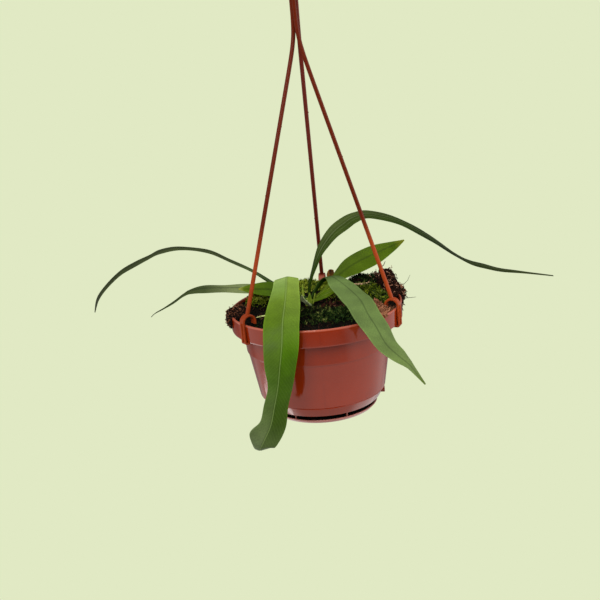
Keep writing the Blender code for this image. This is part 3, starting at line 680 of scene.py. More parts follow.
# %% Clips
CLIP_WIDTH = 5.5
CLIP_THICKNESS = 1.6
CLIP_LEG = 71.1
CLIP_FOOT = -15.3
CLIP_FOOT_REACH = (5.6, 3.4)
CLIP_BEND = 1.2
CLIP_ARCH_RADIUS = 5.3
CLIP_ARCH_HEIGHT = 1.5
CLIP_INNER_END = -1.2
RIB_WIDTH = 1.4
RIB_OUT = 1.0
RIB_HEIGHTS = (-14.0, -10, -6, -2, 1.5)


def arc(centre, radius, start, end, steps):
    """Points on an arc in a plane, between two angles in degrees."""
    across, rise = centre
    angles = [math.radians(start + (end - start) * step / steps) for step in range(steps + 1)]
    return [(across + radius * math.cos(angle), rise + radius * math.sin(angle)) for angle in angles]


def clip_line():
    """The middle of the clip as (radius, height): foot, outer leg, arch and inner leg."""
    line = [(CLIP_LEG - reach, CLIP_FOOT) for reach in CLIP_FOOT_REACH]
    line += arc((CLIP_LEG - CLIP_BEND, CLIP_FOOT + CLIP_BEND), CLIP_BEND, -90, 0, 6)
    line += [(CLIP_LEG, height) for height in (-10, -6, -2)]
    line += arc((CLIP_LEG - CLIP_ARCH_RADIUS, CLIP_ARCH_HEIGHT), CLIP_ARCH_RADIUS, 0, 180, 24)
    return [*line, (CLIP_LEG - 2 * CLIP_ARCH_RADIUS, CLIP_INNER_END)]

# %% Strips and the hanger
def strip(line, degrees, width, thickness):
    """A flat strip bent along (radius, height) points, with rounded edges."""
    start_afresh()
    bpy.ops.mesh.primitive_grid_add(x_subdivisions=len(line) - 1, y_subdivisions=4, size=2)
    obj = bpy.context.object
    angle = math.radians(degrees)
    sideways = Vector((-math.sin(angle), math.cos(angle), 0)) * width / 2 * MM
    for vertex in obj.data.vertices:
        radius, height = line[round((vertex.co.x + 1) / 2 * (len(line) - 1))]
        vertex.co = around(radius, degrees, height) + sideways * vertex.co.y
    applied(obj, "SOLIDIFY", thickness=thickness * MM, offset=0)
    return softened(obj, EDGE_ROUND, 50)


def make_clip(degrees):
    """The clip's strip, and a rib down its outer leg."""
    body = strip(clip_line(), degrees, CLIP_WIDTH, CLIP_THICKNESS)
    rib_line = [(CLIP_LEG + RIB_OUT, height) for height in RIB_HEIGHTS]
    return [body, strip(rib_line, degrees, RIB_WIDTH, CLIP_THICKNESS)]


def make_hanger():
    for side, degrees in CLIPS.items():
        nubs = [make_nub(side, *nub) for nub in NUBS[side]]
        whole_strand = joined([make_strand(side), *make_clip(degrees), *nubs])
        name = "hanger_strand_" + side
        plastic_here = BACK_PAINTED_SHADE if side == "back" else HANGER_PAINTED_LIGHT
        finish_piece(whole_strand, name + "_moulded", plastic_here, "hanger_plastic", name)


make_hanger()

# %% [markdown]
# Above the picture's edge the strands end in a small turned boss, and a hook grows out of it. The hook's
# wire rises from the boss, leans out and bends over the point where it rests on its support.

# %% Hook and boss
HOOK_RADIUS = 2.0
HOOK_BEND = 10.0
HOOK_LINE = (
    (0, -48),
    (0, -43),
    (0, -38),
    (0.6, -35.4),
    (2.0, -33),
    (4.6, -29.4),
    (7.2, -26),
    (8.8, -22.6),
    (9.6, -19),
)
HOOK_END = ((-10.2, -13), (-11.0, -15.2), (-11.8, -17.5))
HOOK_TIP_SHARE = 0.82
BOSS_RINGS = ((0.1, -44), (3.8, -44), (5.8, -46), (5.8, -54), (4.1, -54), (4.1, -49.5), (0.1, -49.5))


def make_hook():
    bend = arc((0, HOOK_RADIUS - HOOK_BEND), HOOK_BEND, 0, 180, 24)
    points = [Vector((x, 0, z)) * MM for x, z in (*HOOK_LINE, *bend, *HOOK_END)]
    radii = [HOOK_RADIUS] * (len(points) - 1) + [HOOK_RADIUS * HOOK_TIP_SHARE]
    hook = rod(points, radii, sides=7)
    boss = softened(turned(BOSS_RINGS, 64, centre=Vector((0, 0, 0))), 0.3)
    hook = joined([hook, boss])
    return finish_piece(hook, "hanger_hook_moulded", HANGER_PAINTED_LIGHT, "hanger_plastic", "hanger_hook")


make_hook()

# %% [markdown]
# ## The root ball
#
# The pot is filled with black peat. Its top is a fine grid that is drawn into a disc, so that its faces stay
# even from the middle to the wall, and every point is lifted to the height of the humps and hollows there.
# Below the top the rim of the disc is extruded down inside the pot.

# %% Peat finish
def crumbly(name, dark, middle, pale, grain):
    """Earth or fibre: dark hollows, brown body and a few pale specks."""
    bench = Finish(name, roughness=0.92, specular=0.08)
    body = bench.noise(grain, 6, 0.7)
    # The darkest tone lies where the bump sinks: painted shade in the hollows, over the earth's own dark
    colour = bench.ramp(body, (0.34, dark), (0.58, middle), (0.74, pale))
    patches = bench.spread(bench.noise(grain / 14, 2), 0.35, 0.65, 0.55, 1.15)
    rough = bench.bump(body, 0.0006, 0.8)
    return bench.done(bench.tinted(colour, patches), normal=rough)


COIR_DARK = crumbly("coir_dark", (0.001, 0.0005, 0.0005), (0.018, 0.006, 0.003), (0.11, 0.04, 0.02), 450)
COIR_LIGHT = crumbly("coir_light", (0.02, 0.006, 0.003), (0.36, 0.15, 0.075), (0.80, 0.46, 0.28), 420)
FIBRE_DARK = crumbly("fibre_dark", (0.003, 0.001, 0.001), (0.075, 0.025, 0.014), (0.40, 0.19, 0.12), 260)
FIBRE_BROWN = crumbly("fibre_brown", (0.008, 0.002, 0.001), (0.20, 0.075, 0.035), (0.46, 0.22, 0.13), 260)
FIBRE_PALE = crumbly("fibre_pale", (0.04, 0.013, 0.008), (0.36, 0.17, 0.10), (0.80, 0.58, 0.44), 220)
PEAT = crumbly("peat", (0.001, 0.001, 0.0005), (0.007, 0.005, 0.003), (0.06, 0.035, 0.018), 900)

# %% Heights of the soil
SOIL_RADIUS = 67.6
SOIL_EDGE = -3.0
SOIL_HUMPS = (
    (-4, 12, 1.5, 26),
    (2, 46, 3.0, 15),
    (22, -36, 2.5, 16),
    (-14, -34, 2.0, 12),
    (48, 20, 3.5, 15),
    (-48, 22, 3.0, 11),
    (-30, -10, -1.5, 12),
    (18, 8, -1.5, 11),
)
# Distance from the axis, rise and radius of the hollow at each clip
CLIP_HOLLOW = (61, -2.0, 6)
# Rise, grain and layer of the noise on the soil, and rise and grain of the crumbs and pits
SOIL_ROUGH = (0.8, 7, 3.1)
CRUMBS_AND_PITS = ((0.9, 2.6), (0.5, 1.1))

# %% Height at a place
def soil_height(x, y):
    """Height of the soil at a place, in millimetres from the rim's plane."""
    height = SOIL_EDGE
    for hump_x, hump_y, rise, radius in SOIL_HUMPS:
        height += rise * math.exp(-((x - hump_x) ** 2 + (y - hump_y) ** 2) / radius**2)
    distance, rise, radius = CLIP_HOLLOW
    for degrees in CLIPS.values():
        hollow_x = distance * math.cos(math.radians(degrees))
        hollow_y = distance * math.sin(math.radians(degrees))
        height += rise * math.exp(-((x - hollow_x) ** 2 + (y - hollow_y) ** 2) / radius**2)
    rise, grain, layer = SOIL_ROUGH
    return height + rise * noise.noise(Vector((x / grain, y / grain, layer)))


def crumbled(x, y):
    """The same height with crumbs and small pits."""
    height = soil_height(x, y)
    for rise, grain in CRUMBS_AND_PITS:
        height += rise * noise.noise(Vector((x, y, 0)) / grain)
    return height

# %% Root ball
SOIL_SIDE = (
    (67.6, -6.0),
    (67.6, -12.3),
    (58.6, -12.3),
    (57.4, -31.8),
    (56.6, -33.2),
    (49.8, -70.0),
    (45.1, -76.6),
)
SOIL_CELLS = 130


def make_soil():
    start_afresh()
    bpy.ops.mesh.primitive_grid_add(x_subdivisions=SOIL_CELLS, y_subdivisions=SOIL_CELLS, size=2)
    soil = bpy.context.object
    for vertex in soil.data.vertices:
        x, y = vertex.co.x, vertex.co.y
        reach = max(abs(x), abs(y))
        away = math.hypot(x, y) or 1
        x, y = x * reach / away * SOIL_RADIUS, y * reach / away * SOIL_RADIUS
        vertex.co = in_pot(x, y, crumbled(x, y))
    whole(soil)
    bpy.ops.mesh.region_to_loop()
    radius = SOIL_RADIUS
    for next_radius, height in SOIL_SIDE:
        bpy.ops.mesh.extrude_region_move(TRANSFORM_OT_translate={"value": (0, 0, 0)})
        bpy.ops.transform.resize(value=(1, 1, 0), center_override=in_pot(0, 0, height))
        scale = next_radius / radius
        bpy.ops.transform.resize(value=(scale, scale, 1), center_override=in_pot(0, 0, height))
        radius = next_radius
    bpy.ops.mesh.edge_face_add()
    faced_outwards(soil)
    return finish_piece(soil, "root_ball", PEAT, "peat", "soil", smooth=60)


make_soil()

# %% [markdown]
# ## Strewing small things
#
# Crumbs, moss shoots, fronds, chips of husk and curls of fibre come by the hundred. Each kind is modelled
# once, with few faces, and then copied to places on the ground: every copy is turned about its own
# direction, leant a little and scaled by its own amount. A fixed seed makes the same ground every time.

# %% Copies over a surface
def strewn(patterns, places, directions, sizes, lean, seed):
    """One mesh of many copies of the patterns. A pattern stands on the origin and points up."""
    dice = np.random.default_rng(seed)
    shapes = []
    for pattern in patterns:
        corners = np.array([vertex.co[:] for vertex in pattern.data.vertices])
        shapes.append((corners, [list(face.vertices) for face in pattern.data.polygons]))
    corners, faces, count = [], [], 0
    for place, direction in zip(places, directions):
        shape, its_faces = shapes[dice.integers(len(shapes))]
        way = Vector(direction) + Vector(dice.normal(0, lean, 3))
        turn = way.to_track_quat("Z", "X").to_matrix() @ Matrix.Rotation(dice.uniform(0, math.tau), 3, "Z")
        corners.append(shape @ np.array(turn).T * dice.uniform(*sizes) + np.array(place))
        faces += [[corner + count for corner in face] for face in its_faces]
        count += len(shape)
    mesh = bpy.data.meshes.new("strewn")
    mesh.from_pydata(np.vstack(corners).tolist(), [], faces)
    obj = bpy.data.objects.new("strewn", mesh)
    bpy.context.scene.collection.objects.link(obj)
    return obj

# %% Places to strew them on
def spots_on(obj, count, seed, upward=-1.0):
    """Places and normals spread evenly over the faces of an object that look up at least so much."""
    dice = np.random.default_rng(seed)
    mesh = obj.data
    mesh.calc_loop_triangles()
    corners = np.array([vertex.co[:] for vertex in mesh.vertices])
    triangles = corners[np.array([triangle.vertices[:] for triangle in mesh.loop_triangles])]
    across = np.cross(triangles[:, 1] - triangles[:, 0], triangles[:, 2] - triangles[:, 0])
    area = np.linalg.norm(across, axis=1)
    normals = across / np.maximum(area, 1e-12)[:, None]
    share = area * (normals[:, 2] >= upward)
    chosen = dice.choice(len(triangles), count, p=share / share.sum())
    first, second = dice.random((2, count, 1))
    over = (first + second > 1).astype(float)
    first, second = np.abs(over - first), np.abs(over - second)
    base = triangles[chosen]
    places = base[:, 0] + (base[:, 1] - base[:, 0]) * first + (base[:, 2] - base[:, 0]) * second
    return places, normals[chosen]


def near(ground, x, y, reach):
    """Which of the places on the ground lie within reach of a point of the pot, in millimetres."""
    places = ground[0]
    return np.hypot(places[:, 0] - POT.x - x * MM, places[:, 1] - POT.y - y * MM) < reach * MM


def kept(ground, keep):
    """The places and directions that are kept."""
    places, directions = ground
    return places[keep], directions[keep]


def sow(name, patterns, ground, sizes, lean, seed, material, slot, smooth=60):
    """Copies of the patterns strewn over the ground and finished as one piece."""
    return finish_piece(strewn(patterns, *ground, sizes, lean, seed), name, material, slot, smooth=smooth)


def forget(patterns):
    for pattern in patterns:
        bpy.data.objects.remove(pattern)

# %% Crumbs
def crumb(seed):
    """A lump of peat a millimetre across."""
    start_afresh()
    bpy.ops.mesh.primitive_ico_sphere_add(subdivisions=1, radius=0.5 * MM)
    lump = bpy.context.object
    for vertex in lump.data.vertices:
        vertex.co *= 0.8 + 0.9 * noise.noise(vertex.co * 1500 + Vector((seed, 0, 0)))
    return lump

# %% [markdown]
# A leaflet of moss is a three-sided cone, pressed flat. A shoot holds a whorl of them at all heights and
# slopes, and a frond two rows that get shorter towards its tip, on a line that bends backwards.

# %% Moss shoots and fronds
def leaflet(width, length, place, turn, foot, flat):
    """A pointed leaflet, flattened, raised by its foot, turned and put in its place."""
    start_afresh()
    bpy.ops.mesh.primitive_cone_add(vertices=3, radius1=width * MM, radius2=0, depth=length)
    pointed = bpy.context.object
    raised = Matrix.Translation((0, 0, foot)) @ Matrix.Diagonal((*flat, 1, 1))
    pointed.data.transform(Matrix.Translation(place) @ turn @ raised)
    return pointed


def moss_shoot(leaflets, seed):
    """A shoot of moss: pointed leaflets round a short stem."""
    dice = np.random.default_rng(seed)
    pieces = []
    for index in range(leaflets):
        tilt = Matrix.Rotation(math.radians(dice.uniform(12, 62)), 4, "Y")
        turn = Matrix.Rotation(math.tau * index / leaflets + dice.uniform(0, 0.6), 4, "Z")
        place = (0, 0, dice.uniform(0.3, 1.2) * MM)
        pieces.append(leaflet(0.22, 1.5 * MM, place, turn @ tilt, 0.7 * MM, (0.35, 1)))
    return joined(pieces)


FROND_LEAFLETS = 13


def moss_frond(seed):
    """A frond of moss: a curved stem with pointed leaflets at both sides, like a small feather."""
    dice = np.random.default_rng(200 + seed)
    pieces = []
    for index in range(FROND_LEAFLETS):
        share = index / (FROND_LEAFLETS - 1)
        length = (1.7 - 1.0 * share) * MM
        side = 1 if index % 2 else -1
        angle = side * math.radians(dice.uniform(38, 60)) * (share < 0.99)
        place = (0, 1.2 * share**2 * MM, 3.4 * share * MM)
        turn = Matrix.Rotation(angle, 4, "Y")
        pieces.append(leaflet(0.26, length, place, turn, length / 2, (1, 0.35)))
    return joined(pieces)

# %% [markdown]
# A chip of coconut husk is a cube whose eight corners are moved at random, which leaves a splinter. A curl of
# fibre is a thin rod whose direction turns a little at each step, about an axis that wanders.

# %% Chips and curls
def coir_chip(seed):
    """A flat splinter of coconut husk."""
    dice = np.random.default_rng(300 + seed)
    start_afresh()
    bpy.ops.mesh.primitive_cube_add(size=1)
    chip = bpy.context.object
    for vertex in chip.data.vertices:
        vertex.co.x *= dice.uniform(0.2, 0.5) * MM
        vertex.co.y *= dice.uniform(0.5, 1.1) * MM
        vertex.co.z = (vertex.co.z + 0.3) * dice.uniform(2.0, 3.2) * MM
    return chip


CURL_STEPS = 7


def curl(length, bend, thickness, seed):
    """A curly fibre that starts upright and wanders."""
    dice = np.random.default_rng(seed)
    way, place = Vector((0, 0, 1)), Vector((0, 0, -0.4 * MM))
    points, radii = [place.copy()], [thickness]
    axis = Vector(dice.normal(0, 1, 3)).normalized()
    for step in range(CURL_STEPS):
        axis = (axis + Vector(dice.normal(0, 0.5, 3))).normalized()
        way.rotate(Matrix.Rotation(bend, 3, axis))
        place = place + way * length / CURL_STEPS * MM
        points.append(place.copy())
        radii.append(thickness * (1 - 0.6 * step / CURL_STEPS))
    return rod(points, radii, sides=0)

# %% [markdown]
# Loose crumbs of peat lie all over the top of the root ball. Dry fibres stick out between them, and thicker
# dead roots lie right of the crown. A dark film of peat lies in the saucer as painted shade, which keeps the
# gap between pot and saucer black.

# %% Loose peat
# A dark film in the saucer: painted shade under the pot
SHADE_FILM_RINGS = ((4.6, -85.9), (4.6, -85.3), (39.6, -85.3), (40.6, -85.6), (40.4, -85.9), (4.6, -85.9))
CRUMBS_REACH = 66.5
CRUMBS_FROM = -8
THREADS, THREADS_BEFORE = 420, 30
DEAD_ROOTS, DEAD_ROOTS_AT = 70, (16, -4, 14)


def make_loose_peat():
    ground = spots_on(bpy.data.objects["root_ball"], 9000, 11, 0.6)
    keep = near(ground, 0, 0, CRUMBS_REACH) & (ground[0][:, 2] > POT.z + CRUMBS_FROM * MM)
    patterns = [crumb(seed) for seed in range(4)]
    sow("peat_crumbs", patterns, kept(ground, keep), (0.6, 2.1), 0.5, 12, PEAT, "peat", 20)
    forget(patterns)
    keep &= ground[0][:, 1] < POT.y + THREADS_BEFORE * MM
    threads = kept(kept(ground, keep), slice(THREADS))
    patterns = [curl(3.2 + 0.6 * kind, 0.4, 0.22, 15 + kind) for kind in range(4)]
    sow("peat_threads", patterns, threads, (0.6, 1.3), 1.4, 13, FIBRE_DARK, "coir_dark")
    forget(patterns)
    roots = kept(kept(ground, keep & near(ground, *DEAD_ROOTS_AT)), slice(DEAD_ROOTS))
    patterns = [curl(5.0 + kind, 0.5, 0.36, 19 + kind) for kind in range(4)]
    sow("peat_roots", patterns, roots, (0.6, 1.2), 1.2, 14, FIBRE_DARK, "coir_dark")
    forget(patterns)


make_loose_peat()
# The dark film in the saucer is painted shade
finish_piece(turned(SHADE_FILM_RINGS, closed=True), "saucer_shade_film", PEAT, "peat")

# %% [markdown]
# ## Coir and roots
#
# At the right an old root ball stands over the rim, all torn fibre, and dark coir spills over the rim at
# the left. Inside the rim at the right lies paler coir with flat chips of husk. The lump itself starts as a
# copy of its plain solid: its loose triangles are merged, it is rebuilt in even faces by a voxel Remesh, and
# noise pushes its surface in and out. Thin dark curls of fibre and a few thick pale ones then cover it. On
# the old root ball the pale ones stay right of the moss.

# %% A rough lump
def lump_of(node, voxel, rough, grain):
    """A rough copy of a plain solid, on which the small things are strewn."""
    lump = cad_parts[node].copy()
    lump.data = lump.data.copy()
    bpy.context.scene.collection.objects.link(lump)
    lump.parent = None
    lump.hide_render = False
    lump.hide_viewport = False
    lump.hide_set(False)
    whole(lump)
    bpy.ops.mesh.remove_doubles(threshold=0.00001)
    applied(lump, "REMESH", mode="VOXEL", voxel_size=voxel * MM)
    shifts = []
    for vertex in lump.data.vertices:
        spot = vertex.co / MM
        shift = noise.noise(spot / grain) + 0.5 * noise.noise(spot / grain * 2.3)
        shifts.append(vertex.co + vertex.normal * shift * rough * MM)
    for vertex, place in zip(lump.data.vertices, shifts):
        vertex.co = place
    lump.data.update()
    return lump


def fibres(name, lump, count, length, thickness, material, slot, seed, upward=-1.0, lean=0.7, edge=-1):
    """Curls of fibre strewn over a lump, right of an edge in metres from the pot's axis."""
    patterns = []
    for kind in range(5):
        patterns.append(curl(length * (0.7 + 0.25 * kind), 0.5 + 0.15 * kind, thickness, seed + kind))
    ground = spots_on(lump, count, seed, upward)
    keep = ground[0][:, 0] - POT.x > edge
    sow(name, patterns, kept(ground, keep), (0.6, 1.25), lean, seed, material, slot)
    forget(patterns)

# %% Coir clumps
PALE_CURLS_FROM = 50 * MM
LOOSE_CHIPS_AT = (57, -27, 10.5)


def make_coir():
    right = lump_of("coir_clump_right", 0.7, 0.9, 2.4)
    finish_piece(right, "root_clump_right", COIR_DARK, "coir_dark", "coir_clump_right", smooth=60)
    fibres("root_fibres_right", right, 560, 4.4, 0.42, FIBRE_DARK, "coir_dark", 21)
    fibres("root_curls_right", right, 130, 6.0, 0.46, FIBRE_PALE, "coir_dark", 25, -0.4, 0.9, PALE_CURLS_FROM)
    left = lump_of("coir_clump_left", 0.6, 0.5, 2.2)
    finish_piece(left, "coir_left", COIR_DARK, "coir_dark", "coir_clump_left", smooth=60)
    fibres("coir_fibres_left", left, 340, 1.9, 0.32, FIBRE_BROWN, "coir_dark", 31)
    fibres("coir_curls_left", left, 46, 2.8, 0.32, FIBRE_PALE, "coir_dark", 35, 0.0, 0.8)
    front = lump_of("coir_clump_front", 0.5, 0.7, 1.8)
    finish_piece(front, "coir_front", COIR_LIGHT, "coir_light", "coir_clump_front", smooth=60)
    fibres("coir_fibres_front", front, 300, 3.4, 0.34, COIR_LIGHT, "coir_light", 41, 0.0, 1.0)
    chips = [coir_chip(seed) for seed in range(4)]
    ground = spots_on(front, 150, 45, 0.0)
    sow("coir_chips_front", chips, ground, (0.7, 1.5), 0.9, 46, COIR_LIGHT, "coir_light", 20)
    ground = spots_on(bpy.data.objects["root_ball"], 9000, 47, 0.3)
    ground = kept(ground, near(ground, *LOOSE_CHIPS_AT))
    sow("coir_chips_loose", chips, ground, (0.7, 1.4), 0.9, 48, COIR_LIGHT, "coir_light", 20)
    forget(chips)


make_coir()

# %% [markdown]
# Two thin grey roots stand out into the air at the right.

# %% Stray roots
STRAY_ROOTS = (
    ((67, 29, -4), (70.5, 28.5, -5), (73, 28, -4.5), (75.4, 27, 2), (78.5, 26.5, 5), (80.8, 26, 9.6)),
    ((69, 21, -7.5), (74.8, 20, -8.1), (79.7, 19, -7.9), (83.8, 18, -7.5)),
)
ROOT_GREY = crumbly("root_grey", (0.05, 0.045, 0.035), (0.14, 0.13, 0.10), (0.30, 0.28, 0.22), 1200)


def make_stray_roots():
    roots = []
    for line in STRAY_ROOTS:
        radii = [0.34 - 0.2 * index / (len(line) - 1) for index in range(len(line))]
        roots.append(rod([in_pot(*point) for point in line], radii, sides=1))
    return finish_piece(joined(roots), "stray_roots", ROOT_GREY, "coir_dark", smooth=60)


make_stray_roots()

# %% [markdown]
# ## Moss
#
# Moss has grown over the peat: dark green in the shade of the leaves, fresh yellow-green at the back, and
# mixed at the right. Its cushions are rough lumps like the coir. Hundreds of shoots and larger feathery
# fronds stand on them and thin out over the peat around, and shoots climb the left of the old root ball. The
# colour goes nearly to black between the shoots, because moss is deep and little light gets out of it.

# %% Moss finishes
def mossy(name, dark, middle, bright):
    bench = Finish(name, roughness=0.8, specular=0.08)
    colour = bench.ramp(bench.noise(330, 4, 0.7), (0.38, dark), (0.50, middle), (0.63, bright))
    return bench.done(colour)


MOSS_DARK = mossy("moss_dark", (0.001, 0.002, 0.0005), (0.006, 0.018, 0.003), (0.05, 0.10, 0.018))
MOSS_BRIGHT = mossy("moss_bright", (0.010, 0.024, 0.0005), (0.15, 0.21, 0.006), (0.48, 0.54, 0.07))
MOSS_MIXED = mossy("moss_mixed", (0.001, 0.004, 0.0005), (0.032, 0.060, 0.002), (0.22, 0.27, 0.012))
MOSS_FROND = mossy("moss_frond", (0.006, 0.018, 0.002), (0.045, 0.095, 0.012), (0.40, 0.40, 0.11))

# Material of the cushion, number and size of its shoots, and number of fronds
MOSS_PATCHES = {
    "moss_back": (MOSS_BRIGHT, 520, 1.25, 60),
    "moss_right": (MOSS_MIXED, 420, 1.15, 60),
    "moss_front": (MOSS_DARK, 520, 1.2, 150),
    "moss_left": (MOSS_BRIGHT, 260, 1.1, 30),
}
CLUMP_MOSS_EDGE = 52 * MM

# %% Moss cushions
def make_moss():
    shoots = [moss_shoot(7, seed) for seed in range(4)]
    fronds = [moss_frond(seed) for seed in range(4)]
    for index, (node, (material, count, size, frond_count)) in enumerate(MOSS_PATCHES.items()):
        cushion = lump_of(node, 0.5, 0.6, 1.6)
        finish_piece(cushion, node + "_cushion", material, "moss", node, smooth=60)
        ground = spots_on(cushion, count, 51 + index, 0.0)
        sizes = (0.7 * size, 1.5 * size)
        sow(node + "_shoots", shoots, ground, sizes, 0.3, 61 + index, material, "moss", 20)
        ground = spots_on(cushion, frond_count, 91 + index, 0.2)
        sow(node + "_fronds", fronds, ground, (0.7, 1.3), 0.5, 95 + index, MOSS_FROND, "moss", 20)
    ground = spots_on(bpy.data.objects["root_clump_right"], 1500, 97, 0.1)
    keep = (ground[0][:, 0] - POT.x < CLUMP_MOSS_EDGE) & (ground[0][:, 1] > POT.y)
    sow("moss_on_clump", shoots, kept(ground, keep), (0.8, 1.6), 0.3, 98, MOSS_DARK, "moss", 20)
    forget(shoots + fronds)


make_moss()

# %% Moss over the peat
# Middle, reach to both sides, number of tufts and kind
THIN_MOSS = (
    (2, 44, 22, 8, 260, "bright"),
    (36, 16, 14, 12, 220, "bright"),
    (-46, 20, 10, 10, 110, "bright"),
    (16, -38, 24, 14, 420, "dark"),
    (-8, -20, 26, 20, 320, "dark"),
    (10, 24, 12, 10, 140, "bright"),
    (-34, -30, 18, 14, 130, "dark"),
    (6, -36, 22, 14, 110, "frond"),
    (-6, -8, 20, 14, 60, "frond"),
    (42, 14, 16, 10, 30, "frond"),
    (-34, -26, 16, 12, 26, "frond"),
)
THIN_MOSS_REACH = 64


def thin_moss(tone, material, patterns, sizes, lean, dice):
    places = []
    for x, y, wide, deep, count, kind in THIN_MOSS:
        if kind != tone:
            continue
        for dx, dy in dice.normal(0, 0.5, (count, 2)):
            spot_x, spot_y = x + dx * wide, y + dy * deep
            if math.hypot(spot_x, spot_y) < THIN_MOSS_REACH:
                places.append(in_pot(spot_x, spot_y, soil_height(spot_x, spot_y) - 0.2))
    ground = (places, [(0, 0, 1)] * len(places))
    sow("moss_thin_" + tone, patterns, ground, sizes, lean, 72, material, "moss", 20)
    forget(patterns)


def make_thin_moss():
    dice = np.random.default_rng(71)
    for tone, material in (("bright", MOSS_BRIGHT), ("dark", MOSS_DARK)):
        shoots = [moss_shoot(6, 80 + seed) for seed in range(3)]
        thin_moss(tone, material, shoots, (0.7, 1.4), 0.35, dice)
    thin_moss("frond", MOSS_FROND, [moss_frond(8 + seed) for seed in range(3)], (0.6, 1.2), 0.8, dice)


make_thin_moss()

# %% [markdown]
# ## Bark, twig and root tip
#
# A knob of bark stands by the clip at the back, a twig lies on the moss, and one pale root tip shows at the
# left of the front leaf.

# %% Small woody things
def woody(name, dark, light, lengthwise):
    bench = Finish(name, roughness=0.8, specular=0.12)
    streaks = bench.noise(500, 5, 0.65, bench.place(lengthwise))
    colour = bench.ramp(streaks, (0.35, dark), (0.65, light))
    return bench.done(colour, normal=bench.bump(streaks, 0.0004, 0.7))


BARK = woody("bark", (0.02, 0.006, 0.002), (0.34, 0.14, 0.025), (1, 1, 0.25))
TWIG_WOOD = woody("twig_wood", (0.26, 0.14, 0.075), (0.80, 0.53, 0.33), (0.2, 1, 1))
PALE_ROOT = woody("pale_root", (0.45, 0.50, 0.14), (0.70, 0.74, 0.34), (0.3, 0.3, 1))
TWIG = (
    (33, 16.6, 8.8),
    (36.7, 16.2, 8.3),
    (40, 15.8, 8.3),
    (43, 15.4, 8.4),
    (45.4, 15.1, 7.7),
    (47.6, 15.1, 6.3),
)
TWIG_RADII = (0.8, 1.1, 1.25, 1.25, 1.05, 0.5)
TWIG_FORK = ((43, 15.4, 8.4), (44.6, 15.2, 9.1), (45.8, 15.2, 10.1))
TWIG_FORK_RADII = (1.1, 0.9, 0.4)
ROOT_TIP = ((-37, -14, -4), (-39, -15, -2.2), (-41, -16, -1.5), (-45, -17.5, -1), (-49, -19, -1.5))
ROOT_TIP_RADII = (0.9, 0.95, 0.9, 0.7, 0.25)


def sticks(*lines):
    """One object of thin sticks, each through points of the pot and with its radii, smoothed."""
    rods = [rod([in_pot(*point) for point in points], radii, sides=2) for points, radii in lines]
    return applied(joined(rods), "SUBSURF", levels=1, render_levels=1)


def make_woody():
    knob = lump_of("bark_chip", 0.4, 0.5, 1.5)
    finish_piece(knob, "bark_knob", BARK, "bark", "bark_chip", smooth=60)
    twig = sticks((TWIG, TWIG_RADII), (TWIG_FORK, TWIG_FORK_RADII))
    finish_piece(twig, "twig_on_moss", TWIG_WOOD, "bark", "twig", smooth=60)
    tip = sticks((ROOT_TIP, ROOT_TIP_RADII))
    finish_piece(tip, "root_tip_pale", PALE_ROOT, "papery", "root_tip", smooth=60)


make_woody()

# %% [markdown]
# ## Leaves
#
# A leaf is one long strap. Its midrib follows a smooth curve through a few stations in the air, and each
# station says how wide the blade is to the left and to the right of it. The mesh starts as a grid: one
# direction runs along the leaf, and the other is rolled round it, over the upper face and back along the
# lower one, so that the leaf is a closed thin solid. The midrib is a sunken line above and a raised rib
# below, and shallow ripples follow the side veins. Near its base the cross-section swells to the round
# petiole.

# %% Stations of the front, right and arching leaves
STALK_RADIUS = 1.2


def strap(heading, fold, wave, stations, stalk=STALK_RADIUS):
    """The measures of a leaf, in millimetres and degrees.

    heading is its direction from above, fold how steeply its halves slope, wave the height of its waves and
    stalk its petiole's radius. A station is x, y and height in the pot, half width to the left and to the
    right, and roll.
    """
    return {"heading": heading, "fold": fold, "wave": wave, "stations": stations, "stalk": stalk}


